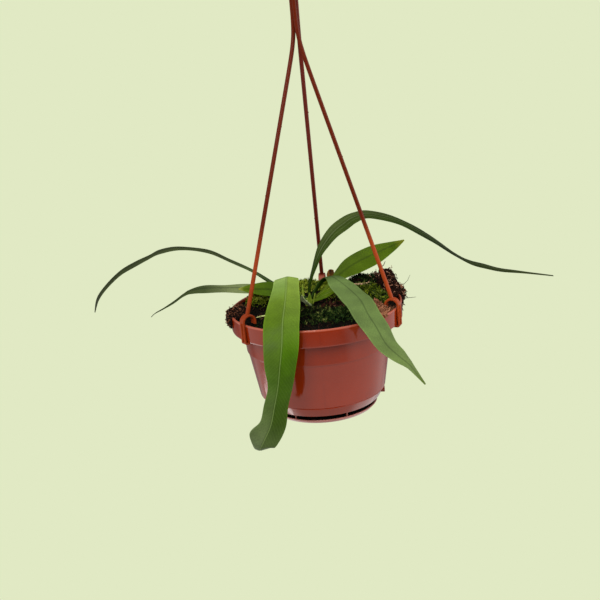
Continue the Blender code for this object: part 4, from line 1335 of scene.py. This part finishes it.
LEAVES = {
    "front": strap(heading=-90, fold=0.22, wave=0.5, stations=(
        (-5.5, 2, 1.5, 1.3, 1.3, 0),
        (-10.5, -3, 7, 1.3, 1.3, 0),
        (-16, -10, 18, 2.5, 2.5, 0),
        (-19, -17, 27, 6, 6, 0),
        (-21, -28, 32, 9, 9.5, 0),
        (-22, -42, 28, 9.7, 11, 0),
        (-24, -58, 20, 11.5, 13.5, 0),
        (-27, -72, 9, 12.5, 14.5, 0),
        (-29, -80, -6, 12.7, 14, 0),
        (-32, -83, -22, 12.4, 11.5, -4),
        (-35, -84, -38, 11.8, 7.5, -8),
        (-39, -84, -53, 11, 7.8, -8),
        (-43, -85, -67, 12, 8.4, -4),
        (-49, -84, -79, 11.4, 12, 0),
        (-53, -81, -87, 10, 5.2, 0),
        (-53, -75, -90.5, 6.6, 1.8, 0),
        (-52, -69, -87, 3.8, 1.6, 0),
        (-51.5, -65, -83, 0.7, 0.7, 0),
    )),
    "right": strap(heading=-54, fold=0.1, wave=0.4, stations=(
        (-3.5, 4, 2.5, 1.3, 1.3, 0),
        (1, 5, 10, 1.7, 1.7, 0),
        (8, 4, 18.5, 3.6, 3.4, 0),
        (14, 0, 21.5, 7.5, 5.8, 0),
        (21.5, -10, 18.5, 9.8, 11, 0),
        (30, -28, 14, 9.6, 13, 0),
        (34.5, -44, 11.5, 10.3, 12.8, 0),
        (38, -60, 5.5, 11.3, 12, 0),
        (42.5, -72, -1, 11.9, 11.2, 0),
        (48, -84, -11, 11, 9, 0),
        (55.5, -91, -18, 9.4, 7, 0),
        (62, -95, -23.5, 5.6, 4.4, 0),
        (65.5, -97, -27.5, 3.2, 2.8, 0),
        (73.5, -102, -38.5, 0.6, 0.6, 0),
    )),
    "arch": strap(heading=0, fold=0.08, wave=0.4, stations=(
        (-4.5, 5.5, 2, 1.4, 1.4, 0),
        (-3.5, 8, 14, 1.5, 1.5, 10),
        (1.2, 9, 27.3, 2.8, 3, 32),
        (6.2, 9.6, 38.5, 4.2, 3.4, 42),
        (11.4, 11.4, 46.2, 5.4, 4.6, 44),
        (19, 12.4, 54.6, 6.6, 5.7, 42),
        (27.5, 13.4, 60.5, 7.6, 6.8, 32),
        (37.2, 13.6, 65.7, 8, 8, 16),
        (50, 12, 67.6, 8, 8, 8),
        (73, 8, 60.4, 8, 8, 8),
        (96.5, 4, 45.6, 8, 8, 9),
        (115, 1, 31.1, 7, 7, 0),
        (127, 0, 23.5, 6.2, 6.2, 0),
        (139, 0, 18.9, 5.6, 5.6, 0),
        (151, 0, 14.7, 4.3, 4.3, 2),
        (167, 0, 11.3, 3, 3, 2),
        (194, 0, 5.4, 1, 1, 4),
    )),
}

# %% Stations of the other leaves
LEAVES |= {
    "back": strap(heading=30, fold=0.12, wave=0.3, stations=(
        (-3.5, 5.5, 1.2, 1.3, 1.3, 0),
        (6, 13, 5.5, 1.3, 1.3, 10),
        (13.5, 20, 10, 2, 2, 30),
        (24, 28, 16.2, 5.6, 6, 40),
        (36, 36, 21, 8.9, 9.3, 40),
        (54, 44, 26, 8.8, 8.8, 40),
        (70, 50, 30, 4.5, 4.5, 40),
        (80.5, 54, 33, 0.6, 0.6, 40),
    )),
    "left_long": strap(heading=180, fold=0.08, wave=0.3, stalk=1.6, stations=(
        (-7, 6, 3.5, 1.4, 1.4, 0),
        (-20, 10, 9.5, 1.6, 1.6, 0),
        (-31.5, 9, 16.5, 2.0, 2.0, 0),
        (-49, 6, 31, 3.4, 3.4, 0),
        (-66, 4, 42, 5.5, 5.5, 0),
        (-82, 0, 52, 6, 6, 0),
        (-103.5, -4, 57.5, 5.5, 5.5, 0),
        (-119, -7, 57, 5.6, 5.6, -3),
        (-129, -9, 53.6, 5.5, 5.5, -1),
        (-140.5, -11, 49.3, 5.6, 5.6, -5),
        (-152, -13, 44, 5.7, 5.7, -8),
        (-164, -15, 34.5, 5, 5, -11),
        (-172, -16, 25, 3.4, 3.4, -22),
        (-175.5, -17, 14.5, 0.6, 0.6, -26),
    )),
    "left_mid": strap(heading=175, fold=0.1, wave=0.3, stations=(
        (-6, 5.5, 0.8, 1.3, 1.3, 0),
        (-20, 14, 5.5, 1.3, 1.3, 0),
        (-36, 19, 9.5, 3, 3, -15),
        (-52, 20, 12.5, 6.5, 6.5, -18),
        (-73, 19, 14.8, 6.6, 6.6, -12),
        (-89.5, 17, 16.5, 7, 7, -12),
        (-101, 14, 16.2, 6, 6, -6),
        (-107.5, 12, 14.2, 4.8, 4.8, -4),
        (-116, 10, 9.3, 3.4, 3.4, -3),
        (-124.5, 8, 5.3, 2.4, 2.4, 0),
        (-131.5, 7, 2.2, 1.4, 1.4, 0),
        (-135, 6, -0.5, 0.6, 0.6, 0),
    )),
    "left_young": strap(heading=187, fold=-0.15, wave=0.2, stations=(
        (-7, 3.5, 2.2, 1.3, 1.3, 0),
        (-20, 2, 9, 1.6, 1.6, -30),
        (-33.5, 1, 14.5, 6.3, 6.3, -45),
        (-48, -1, 17, 4.8, 4.8, -45),
        (-61, -3, 19, 0.6, 0.6, -45),
    )),
    "new": strap(heading=-12, fold=-0.25, wave=0.0, stations=(
        (-3.5, 3, 1, 1.2, 1.2, 0),
        (2, 1.5, 3.5, 2.2, 2.2, 35),
        (9, 1, 6.5, 3.4, 3.4, 40),
        (17, 0, 10.3, 2.6, 2.6, 40),
        (22.5, -1, 12.6, 0.6, 0.6, 40),
    )),
}
SHEATH = strap(heading=-120, fold=0.5, wave=0.0, stations=(
    (-4.6, -1, -0.4, 1.5, 1.5, 0),
    (-7.2, -5.2, 3, 2.2, 2.2, 0),
    (-9.6, -8, 7.5, 2.2, 2.2, 0),
    (-10.4, -9.2, 10.5, 0.7, 0.7, 0),
))

# %% [markdown]
# A Catmull-Rom curve passes through every station and has no corner at any of them, so it serves for the
# midrib, the widths and the roll alike.

# %% The midrib's curve
def smooth_rows(stations, step):
    """Stations read from the smooth curve through the given ones, about a step apart."""
    given = np.array(stations, float)
    given = np.vstack([given[:1], given, given[-1:]])
    rows = []
    for before, start, end, after in zip(given, given[1:], given[2:], given[3:]):
        count = max(3, round(float(np.linalg.norm(end[:3] - start[:3])) / step))
        t = np.arange(count)[:, None] / count
        slope, end_slope, rise = (end - before) / 2, (after - start) / 2, end - start
        square, cube = 3 * rise - 2 * slope - end_slope, slope + end_slope - 2 * rise
        rows.append(start + slope * t + square * t**2 + cube * t**3)
    return np.vstack([*rows, given[-1:]])


def unit(vectors):
    return vectors / np.linalg.norm(vectors, axis=1)[:, None]


def directions_along(places, heading, roll):
    """The blade's sideways and upward directions at each row, turned by its roll."""
    along = np.empty_like(places)
    along[1:-1] = places[2:] - places[:-2]
    along[0], along[-1] = places[1] - places[0], places[-1] - places[-2]
    along = unit(along)
    right = np.array([math.sin(heading), -math.cos(heading), 0.0])
    across = unit(right - along * (along @ right)[:, None])
    upwards = np.cross(across, along)
    turn = np.radians(roll)[:, None]
    across = across * np.cos(turn) - upwards * np.sin(turn)
    return across, np.cross(across, along)

# %% The leaf's skin
LEAF_STEP = 1.1
CELLS_ACROSS = 22
BLADE_HALF_THICKNESS = 0.4
EDGE_THINNER = 0.18
# Half widths between which the petiole becomes a blade
BLADE_BEGINS, BLADE_FULL = 1.6, 5.0
# Rates along the leaf, in radians to the millimetre, of its slow waves and of the short ones at its edges
WAVE_RATE, EDGE_WAVE_RATE = 0.055, 0.21
RIPPLE_LENGTH = 3.4
VEIN_SLANT = 1.3
QUILTING = 0.05
# Height and width of the groove above the midrib and of the rib below it
GROOVE = (0.16, 0.5)
RIB = (0.5, 0.9)


def step_between(value, low, high):
    share = np.clip((value - low) / (high - low), 0, 1)
    return share * share * (3 - 2 * share)


def ridge(offset, height, width):
    return height * np.exp(-((offset / width) ** 2))


def leaf_surface(leaf, station, turn, quilting):
    """Points of the leaf's skin, and what its finish needs to know about them."""
    rows = smooth_rows(leaf["stations"], LEAF_STEP)
    across, upwards = directions_along(rows[:, :3], math.radians(leaf["heading"]), rows[:, 5])
    steps = np.linalg.norm(np.diff(rows[:, :3], axis=0), axis=1)
    lengths = np.concatenate([[0], np.cumsum(steps)])[station]
    upper = turn <= CELLS_ACROSS
    even = np.where(upper, 1 - 2 * turn / CELLS_ACROSS, 2 * (turn - CELLS_ACROSS - 1) / CELLS_ACROSS - 1)
    side = even * (0.6 + 0.4 * even**2)
    half = np.where(side > 0, rows[station, 4], rows[station, 3])
    offset = side * half
    widest = np.maximum(rows[:, 3], rows[:, 4])
    broad = step_between(widest, BLADE_BEGINS, BLADE_FULL)
    flat = np.where(np.arange(len(rows)) < widest.argmax(), broad, 1.0)[station]
    blade = broad[station]
    level = -leaf["fold"] * np.abs(offset) * flat
    level += leaf["wave"] * blade * side * np.abs(side) * np.sin(lengths * WAVE_RATE)
    level += 0.3 * leaf["wave"] * blade * side**2 * np.sin(lengths * EDGE_WAVE_RATE + 1.7 * np.sign(side))
    veins = np.sin(math.tau * (lengths - VEIN_SLANT * np.abs(offset)) / RIPPLE_LENGTH)
    level += quilting * blade * (1 - side**2) * np.minimum(np.abs(offset) / 2, 1) * veins
    stalk = leaf["stalk"] * np.sqrt(np.maximum(1 - side**2, 0.03))
    thin = (BLADE_HALF_THICKNESS - EDGE_THINNER * side**4) * (0.6 + 0.4 * blade)
    half_thickness = thin * flat + stalk * (1 - flat)
    sunken = ridge(offset, *GROOVE) * blade
    raised = ridge(offset, *RIB) * blade
    level += np.where(upper, half_thickness - sunken, -half_thickness - raised)
    places = rows[station, :3] + across[station] * offset[:, None] + upwards[station] * level[:, None]
    measures = np.stack([offset, lengths, blade], axis=1)
    shares = np.stack([side, lengths / lengths.max(), np.zeros_like(side)], axis=1)
    return places, measures, shares


def remember(mesh, name, values):
    """Three numbers kept at each point of a mesh, for its finish to read."""
    layer = mesh.attributes.new(name, "FLOAT_VECTOR", "POINT")
    layer.data.foreach_set("vector", values.astype(np.float32).ravel())

# %% Rolling a grid into a leaf
def rolled_leaf(leaf, quilting=QUILTING):
    """A grid with one side along the leaf and the other rolled round it."""
    count = len(smooth_rows(leaf["stations"], LEAF_STEP))
    ring = 2 * CELLS_ACROSS + 2
    start_afresh()
    bpy.ops.mesh.primitive_grid_add(x_subdivisions=count - 1, y_subdivisions=ring, size=2)
    obj = bpy.context.object
    mesh = obj.data
    corners = np.empty(len(mesh.vertices) * 3, np.float32)
    mesh.vertices.foreach_get("co", corners)
    corners = corners.reshape(-1, 3)
    station = np.rint((corners[:, 0] + 1) / 2 * (count - 1)).astype(int)
    turn = np.rint((corners[:, 1] + 1) / 2 * ring).astype(int) % ring
    places, measures, shares = leaf_surface(leaf, station, turn, quilting)
    mesh.vertices.foreach_set("co", (places * MM + np.array(POT)).astype(np.float32).ravel())
    remember(mesh, "blade_mm", measures)
    remember(mesh, "blade_share", shares)
    whole(obj)
    bpy.ops.mesh.remove_doubles(threshold=0.000002)
    bpy.ops.mesh.fill_holes(sides=0)
    return faced_outwards(obj)

# %% [markdown]
# The finish of a leaf reads where it is on the blade from two attributes: how far it is from the midrib and
# from the base in millimetres, and the same as shares of the width and the length. Colour runs from the
# petiole to the blade and on to the tip, and where the two halves of a blade differ each has its own run,
# which paints light on the one half and shade on the other. The midrib is a fine line in a groove darkened
# by painted shade, the side veins are fainter still, the edge is lightened by a painted highlight, and the
# skin is leathery, with a soft sheen that is broken up by tiny cells.

# %% Leaf finish
WANDER = 2.6
SIDE_VEINS = 0.11
# Where the veins along the blade run, as a share of its half width
LONG_VEINS_AT = 0.46
# Painted shade in the groove beside the midrib, and a painted highlight along the edge
GROOVE_SHADE = 0.78
EDGE_HIGHLIGHT = 1.3


def leafy(name, stops, rib, ribs=(0.5, 0.45), long_veins=0.0, other=None, specular=0.16):
    """A leaf's skin.

    stops are colours along its length, and other those of its left half, as the leaf runs, which paint light
    on the one half and shade on the other. rib is the colour of midrib and veins, ribs the midrib's strength
    and half width, and long_veins the strength of the veins that run along the blade.
    """
    bench = Finish(name, specular=specular)
    measures = bench.add("ShaderNodeAttribute", "Vector", attribute_name="blade_mm")
    shares = bench.add("ShaderNodeAttribute", "Vector", attribute_name="blade_share")
    offset, length, blade = bench.split(measures)
    side, share = bench.split(shares)[:2]
    away = bench.maths("ABSOLUTE", offset)
    outward = bench.maths("ABSOLUTE", side)
    rib_colour = (*rib, 1)
    strength, rib_width = ribs
    # Colour along the leaf, with soft clouds and the grain of the cells
    half = bench.spread(side, -0.15, 0.15)
    colour = bench.mix(half, bench.ramp(share, *(other or stops)), bench.ramp(share, *stops))
    clouds = bench.spread(bench.noise(70, 3), 0.3, 0.7, 0.86, 1.14)
    cells = bench.spread(bench.noise(1300, 3, 0.75), 0.3, 0.7, 0.86, 1.16)
    toned = bench.tinted(colour, bench.maths("MULTIPLY", clouds, cells))
    # Side veins, which slant away from the midrib and wander a little
    wander = bench.maths("MULTIPLY", bench.noise(180, 2), WANDER)
    slant = bench.maths("MULTIPLY", away, VEIN_SLANT)
    slanted = bench.maths("ADD", bench.maths("SUBTRACT", length, slant), wander)
    ripple = bench.maths("SINE", bench.maths("MULTIPLY", slanted, math.tau / RIPPLE_LENGTH))
    side_vein = bench.maths("MULTIPLY", bench.spread(ripple, 0.8, 1.0), SIDE_VEINS)
    veined = bench.mix(bench.maths("MULTIPLY", side_vein, blade), toned, rib_colour)
    # Veins along the blade, a painted highlight on its edge, and the midrib in its groove of painted shade
    lengthwise = bench.maths("ABSOLUTE", bench.maths("SUBTRACT", outward, LONG_VEINS_AT))
    long_vein = bench.maths("MULTIPLY", bench.spread(lengthwise, 0.0, 0.07, 1, 0), long_veins)
    lined = bench.mix(long_vein, veined, rib_colour)
    edge_highlighted = bench.tinted(lined, bench.spread(outward, 0.9, 1.0, 1.0, EDGE_HIGHLIGHT))
    groove_shaded = bench.tinted(edge_highlighted, bench.spread(away, 1.5 * rib_width, 4.0 * rib_width, GROOVE_SHADE, 1.0))
    midrib = bench.maths("MULTIPLY", bench.spread(away, 0.4 * rib_width, 1.3 * rib_width, 1, 0), strength)
    ribbed = bench.mix(bench.maths("MULTIPLY", midrib, blade), groove_shaded, rib_colour)
    skin = bench.bump(bench.noise(2400, 3, 0.6), 0.00006, 0.5)
    sheen = bench.spread(bench.noise(140, 4), 0.3, 0.7, 0.38, 0.52)
    return bench.done(ribbed, sheen, skin)

# %% [markdown]
# The front leaf is the brightest. Its bend is painted pale as a painted highlight, it is deep green where it
# hangs, and its tip is painted greyer as a painted sheen. Its two halves are painted as one half lit and the
# other in shade. The right one is an even grey-green, and the back one is fresh green with a yellowish tip.

# %% Colours of the front, right and back leaves
DARK_STALK = (0.016, 0.042, 0.002)
FRONT_PAINTED_LIGHT = leafy(
    "leaf_front_green",
    # The lit half, with a painted highlight at the bend and a painted sheen at the tip
    (
        (0.0, (0.10, 0.18, 0.008)),
        (0.16, (0.33, 0.46, 0.14)),
        (0.27, (0.175, 0.285, 0.055)),
        (0.35, (0.11, 0.190, 0.012)),
        (0.45, (0.068, 0.132, 0.002)),
        (0.65, (0.053, 0.112, 0.010)),
        (0.75, (0.071, 0.115, 0.026)),
        (0.85, (0.098, 0.138, 0.048)),
        (1.0, (0.120, 0.150, 0.080)),
    ),
    (0.20, 0.30, 0.08),
    ribs=(0.5, 0.38),
    # The half in painted shade, darker where it hangs
    other=(
        (0.0, (0.10, 0.18, 0.008)),
        (0.16, (0.27, 0.40, 0.065)),
        (0.32, (0.135, 0.215, 0.022)),
        (0.55, (0.048, 0.120, 0.0003)),
        (0.65, (0.040, 0.098, 0.0003)),
        (0.80, (0.034, 0.070, 0.004)),
        (0.88, (0.062, 0.100, 0.022)),
        (1.0, (0.085, 0.120, 0.045)),
    ),
    specular=0.10,
)
RIGHT_GREEN = leafy(
    "leaf_right_green",
    (
        (0.0, DARK_STALK),
        (0.12, DARK_STALK),
        (0.24, (0.125, 0.200, 0.050)),
        (0.6, (0.105, 0.166, 0.042)),
        (0.92, (0.121, 0.180, 0.044)),
        (1.0, (0.09, 0.14, 0.012)),
    ),
    (0.02, 0.045, 0.006),
    ribs=(0.5, 0.28),
)
BACK_GREEN = leafy(
    "leaf_back_green",
    (
        (0.0, (0.18, 0.27, 0.008)),
        (0.16, (0.12, 0.19, 0.005)),
        (0.3, (0.062, 0.110, 0.004)),
        (0.5, (0.074, 0.132, 0.003)),
        (0.9, (0.070, 0.130, 0.001)),
        (1.0, (0.20, 0.22, 0.010)),
    ),
    (0.03, 0.06, 0.003),
    ribs=(0.4, 0.35),
    specular=0.10,
)

# %% [markdown]
# The arching leaf and the long left one are the darkest, nearly black-green with a grey sheen. Where the
# arching leaf rises one half is painted lighter as painted light, and its fall is painted near black as
# painted shade. The middle one at the left is painted pale to its middle as a painted sheen. The two
# smallest are fresh young leaves.

# %% Colours of the other leaves
# Both halves of the arching leaf are alike at its petiole and from its middle on; in between, the other half
# is painted lighter as painted light, and the fall past its middle is painted near black as painted shade
ARCH_PETIOLE = ((0.0, (0.014, 0.036, 0.001)), (0.12, (0.018, 0.040, 0.002)))
ARCH_SHADED_END = ((0.46, (0.018, 0.038, 0.001)), (0.62, (0.006, 0.013, 0.0005)), (1.0, (0.030, 0.040, 0.008)))
ARCH_GREEN = leafy(
    "leaf_arch_green",
    (*ARCH_PETIOLE, (0.22, (0.042, 0.072, 0.010)), (0.36, (0.032, 0.055, 0.006)), *ARCH_SHADED_END),
    (0.13, 0.17, 0.07),
    ribs=(0.6, 0.5),
    long_veins=0.4,
    other=(*ARCH_PETIOLE, (0.22, (0.064, 0.096, 0.022)), (0.36, (0.046, 0.070, 0.012)), *ARCH_SHADED_END),
    specular=0.05,
)
LONG_GREEN = leafy(
    "leaf_long_green",
    (
        (0.0, (0.014, 0.045, 0.004)),
        (0.12, (0.022, 0.055, 0.006)),
        (0.24, (0.050, 0.080, 0.020)),
        (0.4, (0.038, 0.052, 0.014)),
        (0.8, (0.034, 0.046, 0.014)),
        (1.0, (0.028, 0.038, 0.012)),
    ),
    (0.012, 0.022, 0.004),
    ribs=(0.5, 0.5),
    specular=0.12,
)
# The pale stretch up to the middle of this leaf is a painted sheen
MID_GREEN = leafy(
    "leaf_mid_green",
    (
        (0.0, (0.05, 0.09, 0.01)),
        (0.24, (0.17, 0.23, 0.08)),
        (0.50, (0.17, 0.21, 0.08)),
        (0.64, (0.050, 0.074, 0.018)),
        (1.0, (0.025, 0.040, 0.008)),
    ),
    (0.02, 0.035, 0.006),
    specular=0.12,
)
YOUNG_GREEN = leafy(
    "leaf_young_green",
    (
        (0.0, (0.08, 0.15, 0.003)),
        (0.35, (0.044, 0.098, 0.001)),
        (0.75, (0.062, 0.118, 0.001)),
        (0.92, (0.09, 0.14, 0.002)),
        (1.0, (0.30, 0.33, 0.06)),
    ),
    (0.02, 0.05, 0.001),
    ribs=(0.5, 0.4),
    specular=0.10,
)
NEW_GREEN = leafy(
    "leaf_new_green",
    ((0.0, (0.20, 0.30, 0.02)), (0.3, (0.075, 0.14, 0.002)), (1.0, (0.12, 0.20, 0.004))),
    (0.30, 0.40, 0.05),
    ribs=(0.6, 0.4),
    specular=0.10,
)

# %% Leaves
LEAF_FINISHES = {
    "front": (FRONT_PAINTED_LIGHT, "leaf"),
    "right": (RIGHT_GREEN, "leaf"),
    "arch": (ARCH_GREEN, "leaf_dark"),
    "back": (BACK_GREEN, "leaf"),
    "left_long": (LONG_GREEN, "leaf_dark"),
    "left_mid": (MID_GREEN, "leaf"),
    "left_young": (YOUNG_GREEN, "leaf"),
    "new": (NEW_GREEN, "leaf"),
}


def make_leaves():
    for name, leaf in LEAVES.items():
        material, slot = LEAF_FINISHES[name]
        blade = rolled_leaf(leaf)
        finish_piece(blade, "blade_" + name, material, slot, "leaf_" + name, smooth=70)


make_leaves()

# %% [markdown]
# ## The crown
#
# The petioles grow from a short pale green stem. Small pointed sheaths wrap it, and one dry papery sheath
# stands at its left. They are made as the leaves are, from a few stations each.

# %% Crown and sheaths
CROWN_RINGS = (
    (0.1, 4.5),
    (1.9, 4.1),
    (3.2, 2.6),
    (3.6, 0.6),
    (3.3, -1.2),
    (3.6, -2.6),
    (3.6, -8.5),
    (0.1, -8.5),
)
CROWN_CENTRE = in_pot(-5, 4, 0)
BUD_SHEATHS = (
    strap(heading=-100, fold=0.5, wave=0, stations=(
        (-5, 1.5, -2, 2.2, 2.2, 0),
        (-4.6, -0.6, 2, 2.2, 2.2, 0),
        (-4.4, -1.2, 6.5, 1.4, 1.4, 0),
        (-4.2, -1.2, 10, 0.3, 0.3, 0),
    )),
    strap(heading=-20, fold=0.5, wave=0, stations=(
        (-3.5, 3, -2, 2.0, 2.0, 0),
        (-1.6, 2.4, 2, 2.0, 2.0, 0),
        (-0.8, 2, 5.5, 1.3, 1.3, 0),
        (0, 1.6, 8.5, 0.3, 0.3, 0),
    )),
    strap(heading=150, fold=0.5, wave=0, stations=(
        (-6.4, 4.4, -1, 1.6, 1.6, 0),
        (-8, 6, 4, 1.6, 1.6, 0),
        (-9, 8, 10, 1.1, 1.1, 0),
        (-8.8, 10, 14.7, 0.3, 0.3, 0),
    )),
)
CROWN_GREEN = woody("crown_green", (0.12, 0.22, 0.006), (0.46, 0.56, 0.08), (1, 1, 0.3))
# The papery sheath is pale of its own and painted paler still, as painted light where it lies in shade
PAPERY_PAINTED_LIGHT = woody("papery_sheath", (0.48, 0.62, 0.22), (0.82, 0.90, 0.52), (1, 1, 0.2))


def make_crown():
    crown = turned(CROWN_RINGS, 40, centre=CROWN_CENTRE)
    crown = joined([crown, *(rolled_leaf(sheath, 0) for sheath in BUD_SHEATHS)])
    finish_piece(crown, "crown_with_sheaths", CROWN_GREEN, "crown", "crown", smooth=60)
    papery = rolled_leaf(SHEATH, 0)
    finish_piece(papery, "papery_sheath", PAPERY_PAINTED_LIGHT, "papery", "cataphyll", smooth=60)


make_crown()
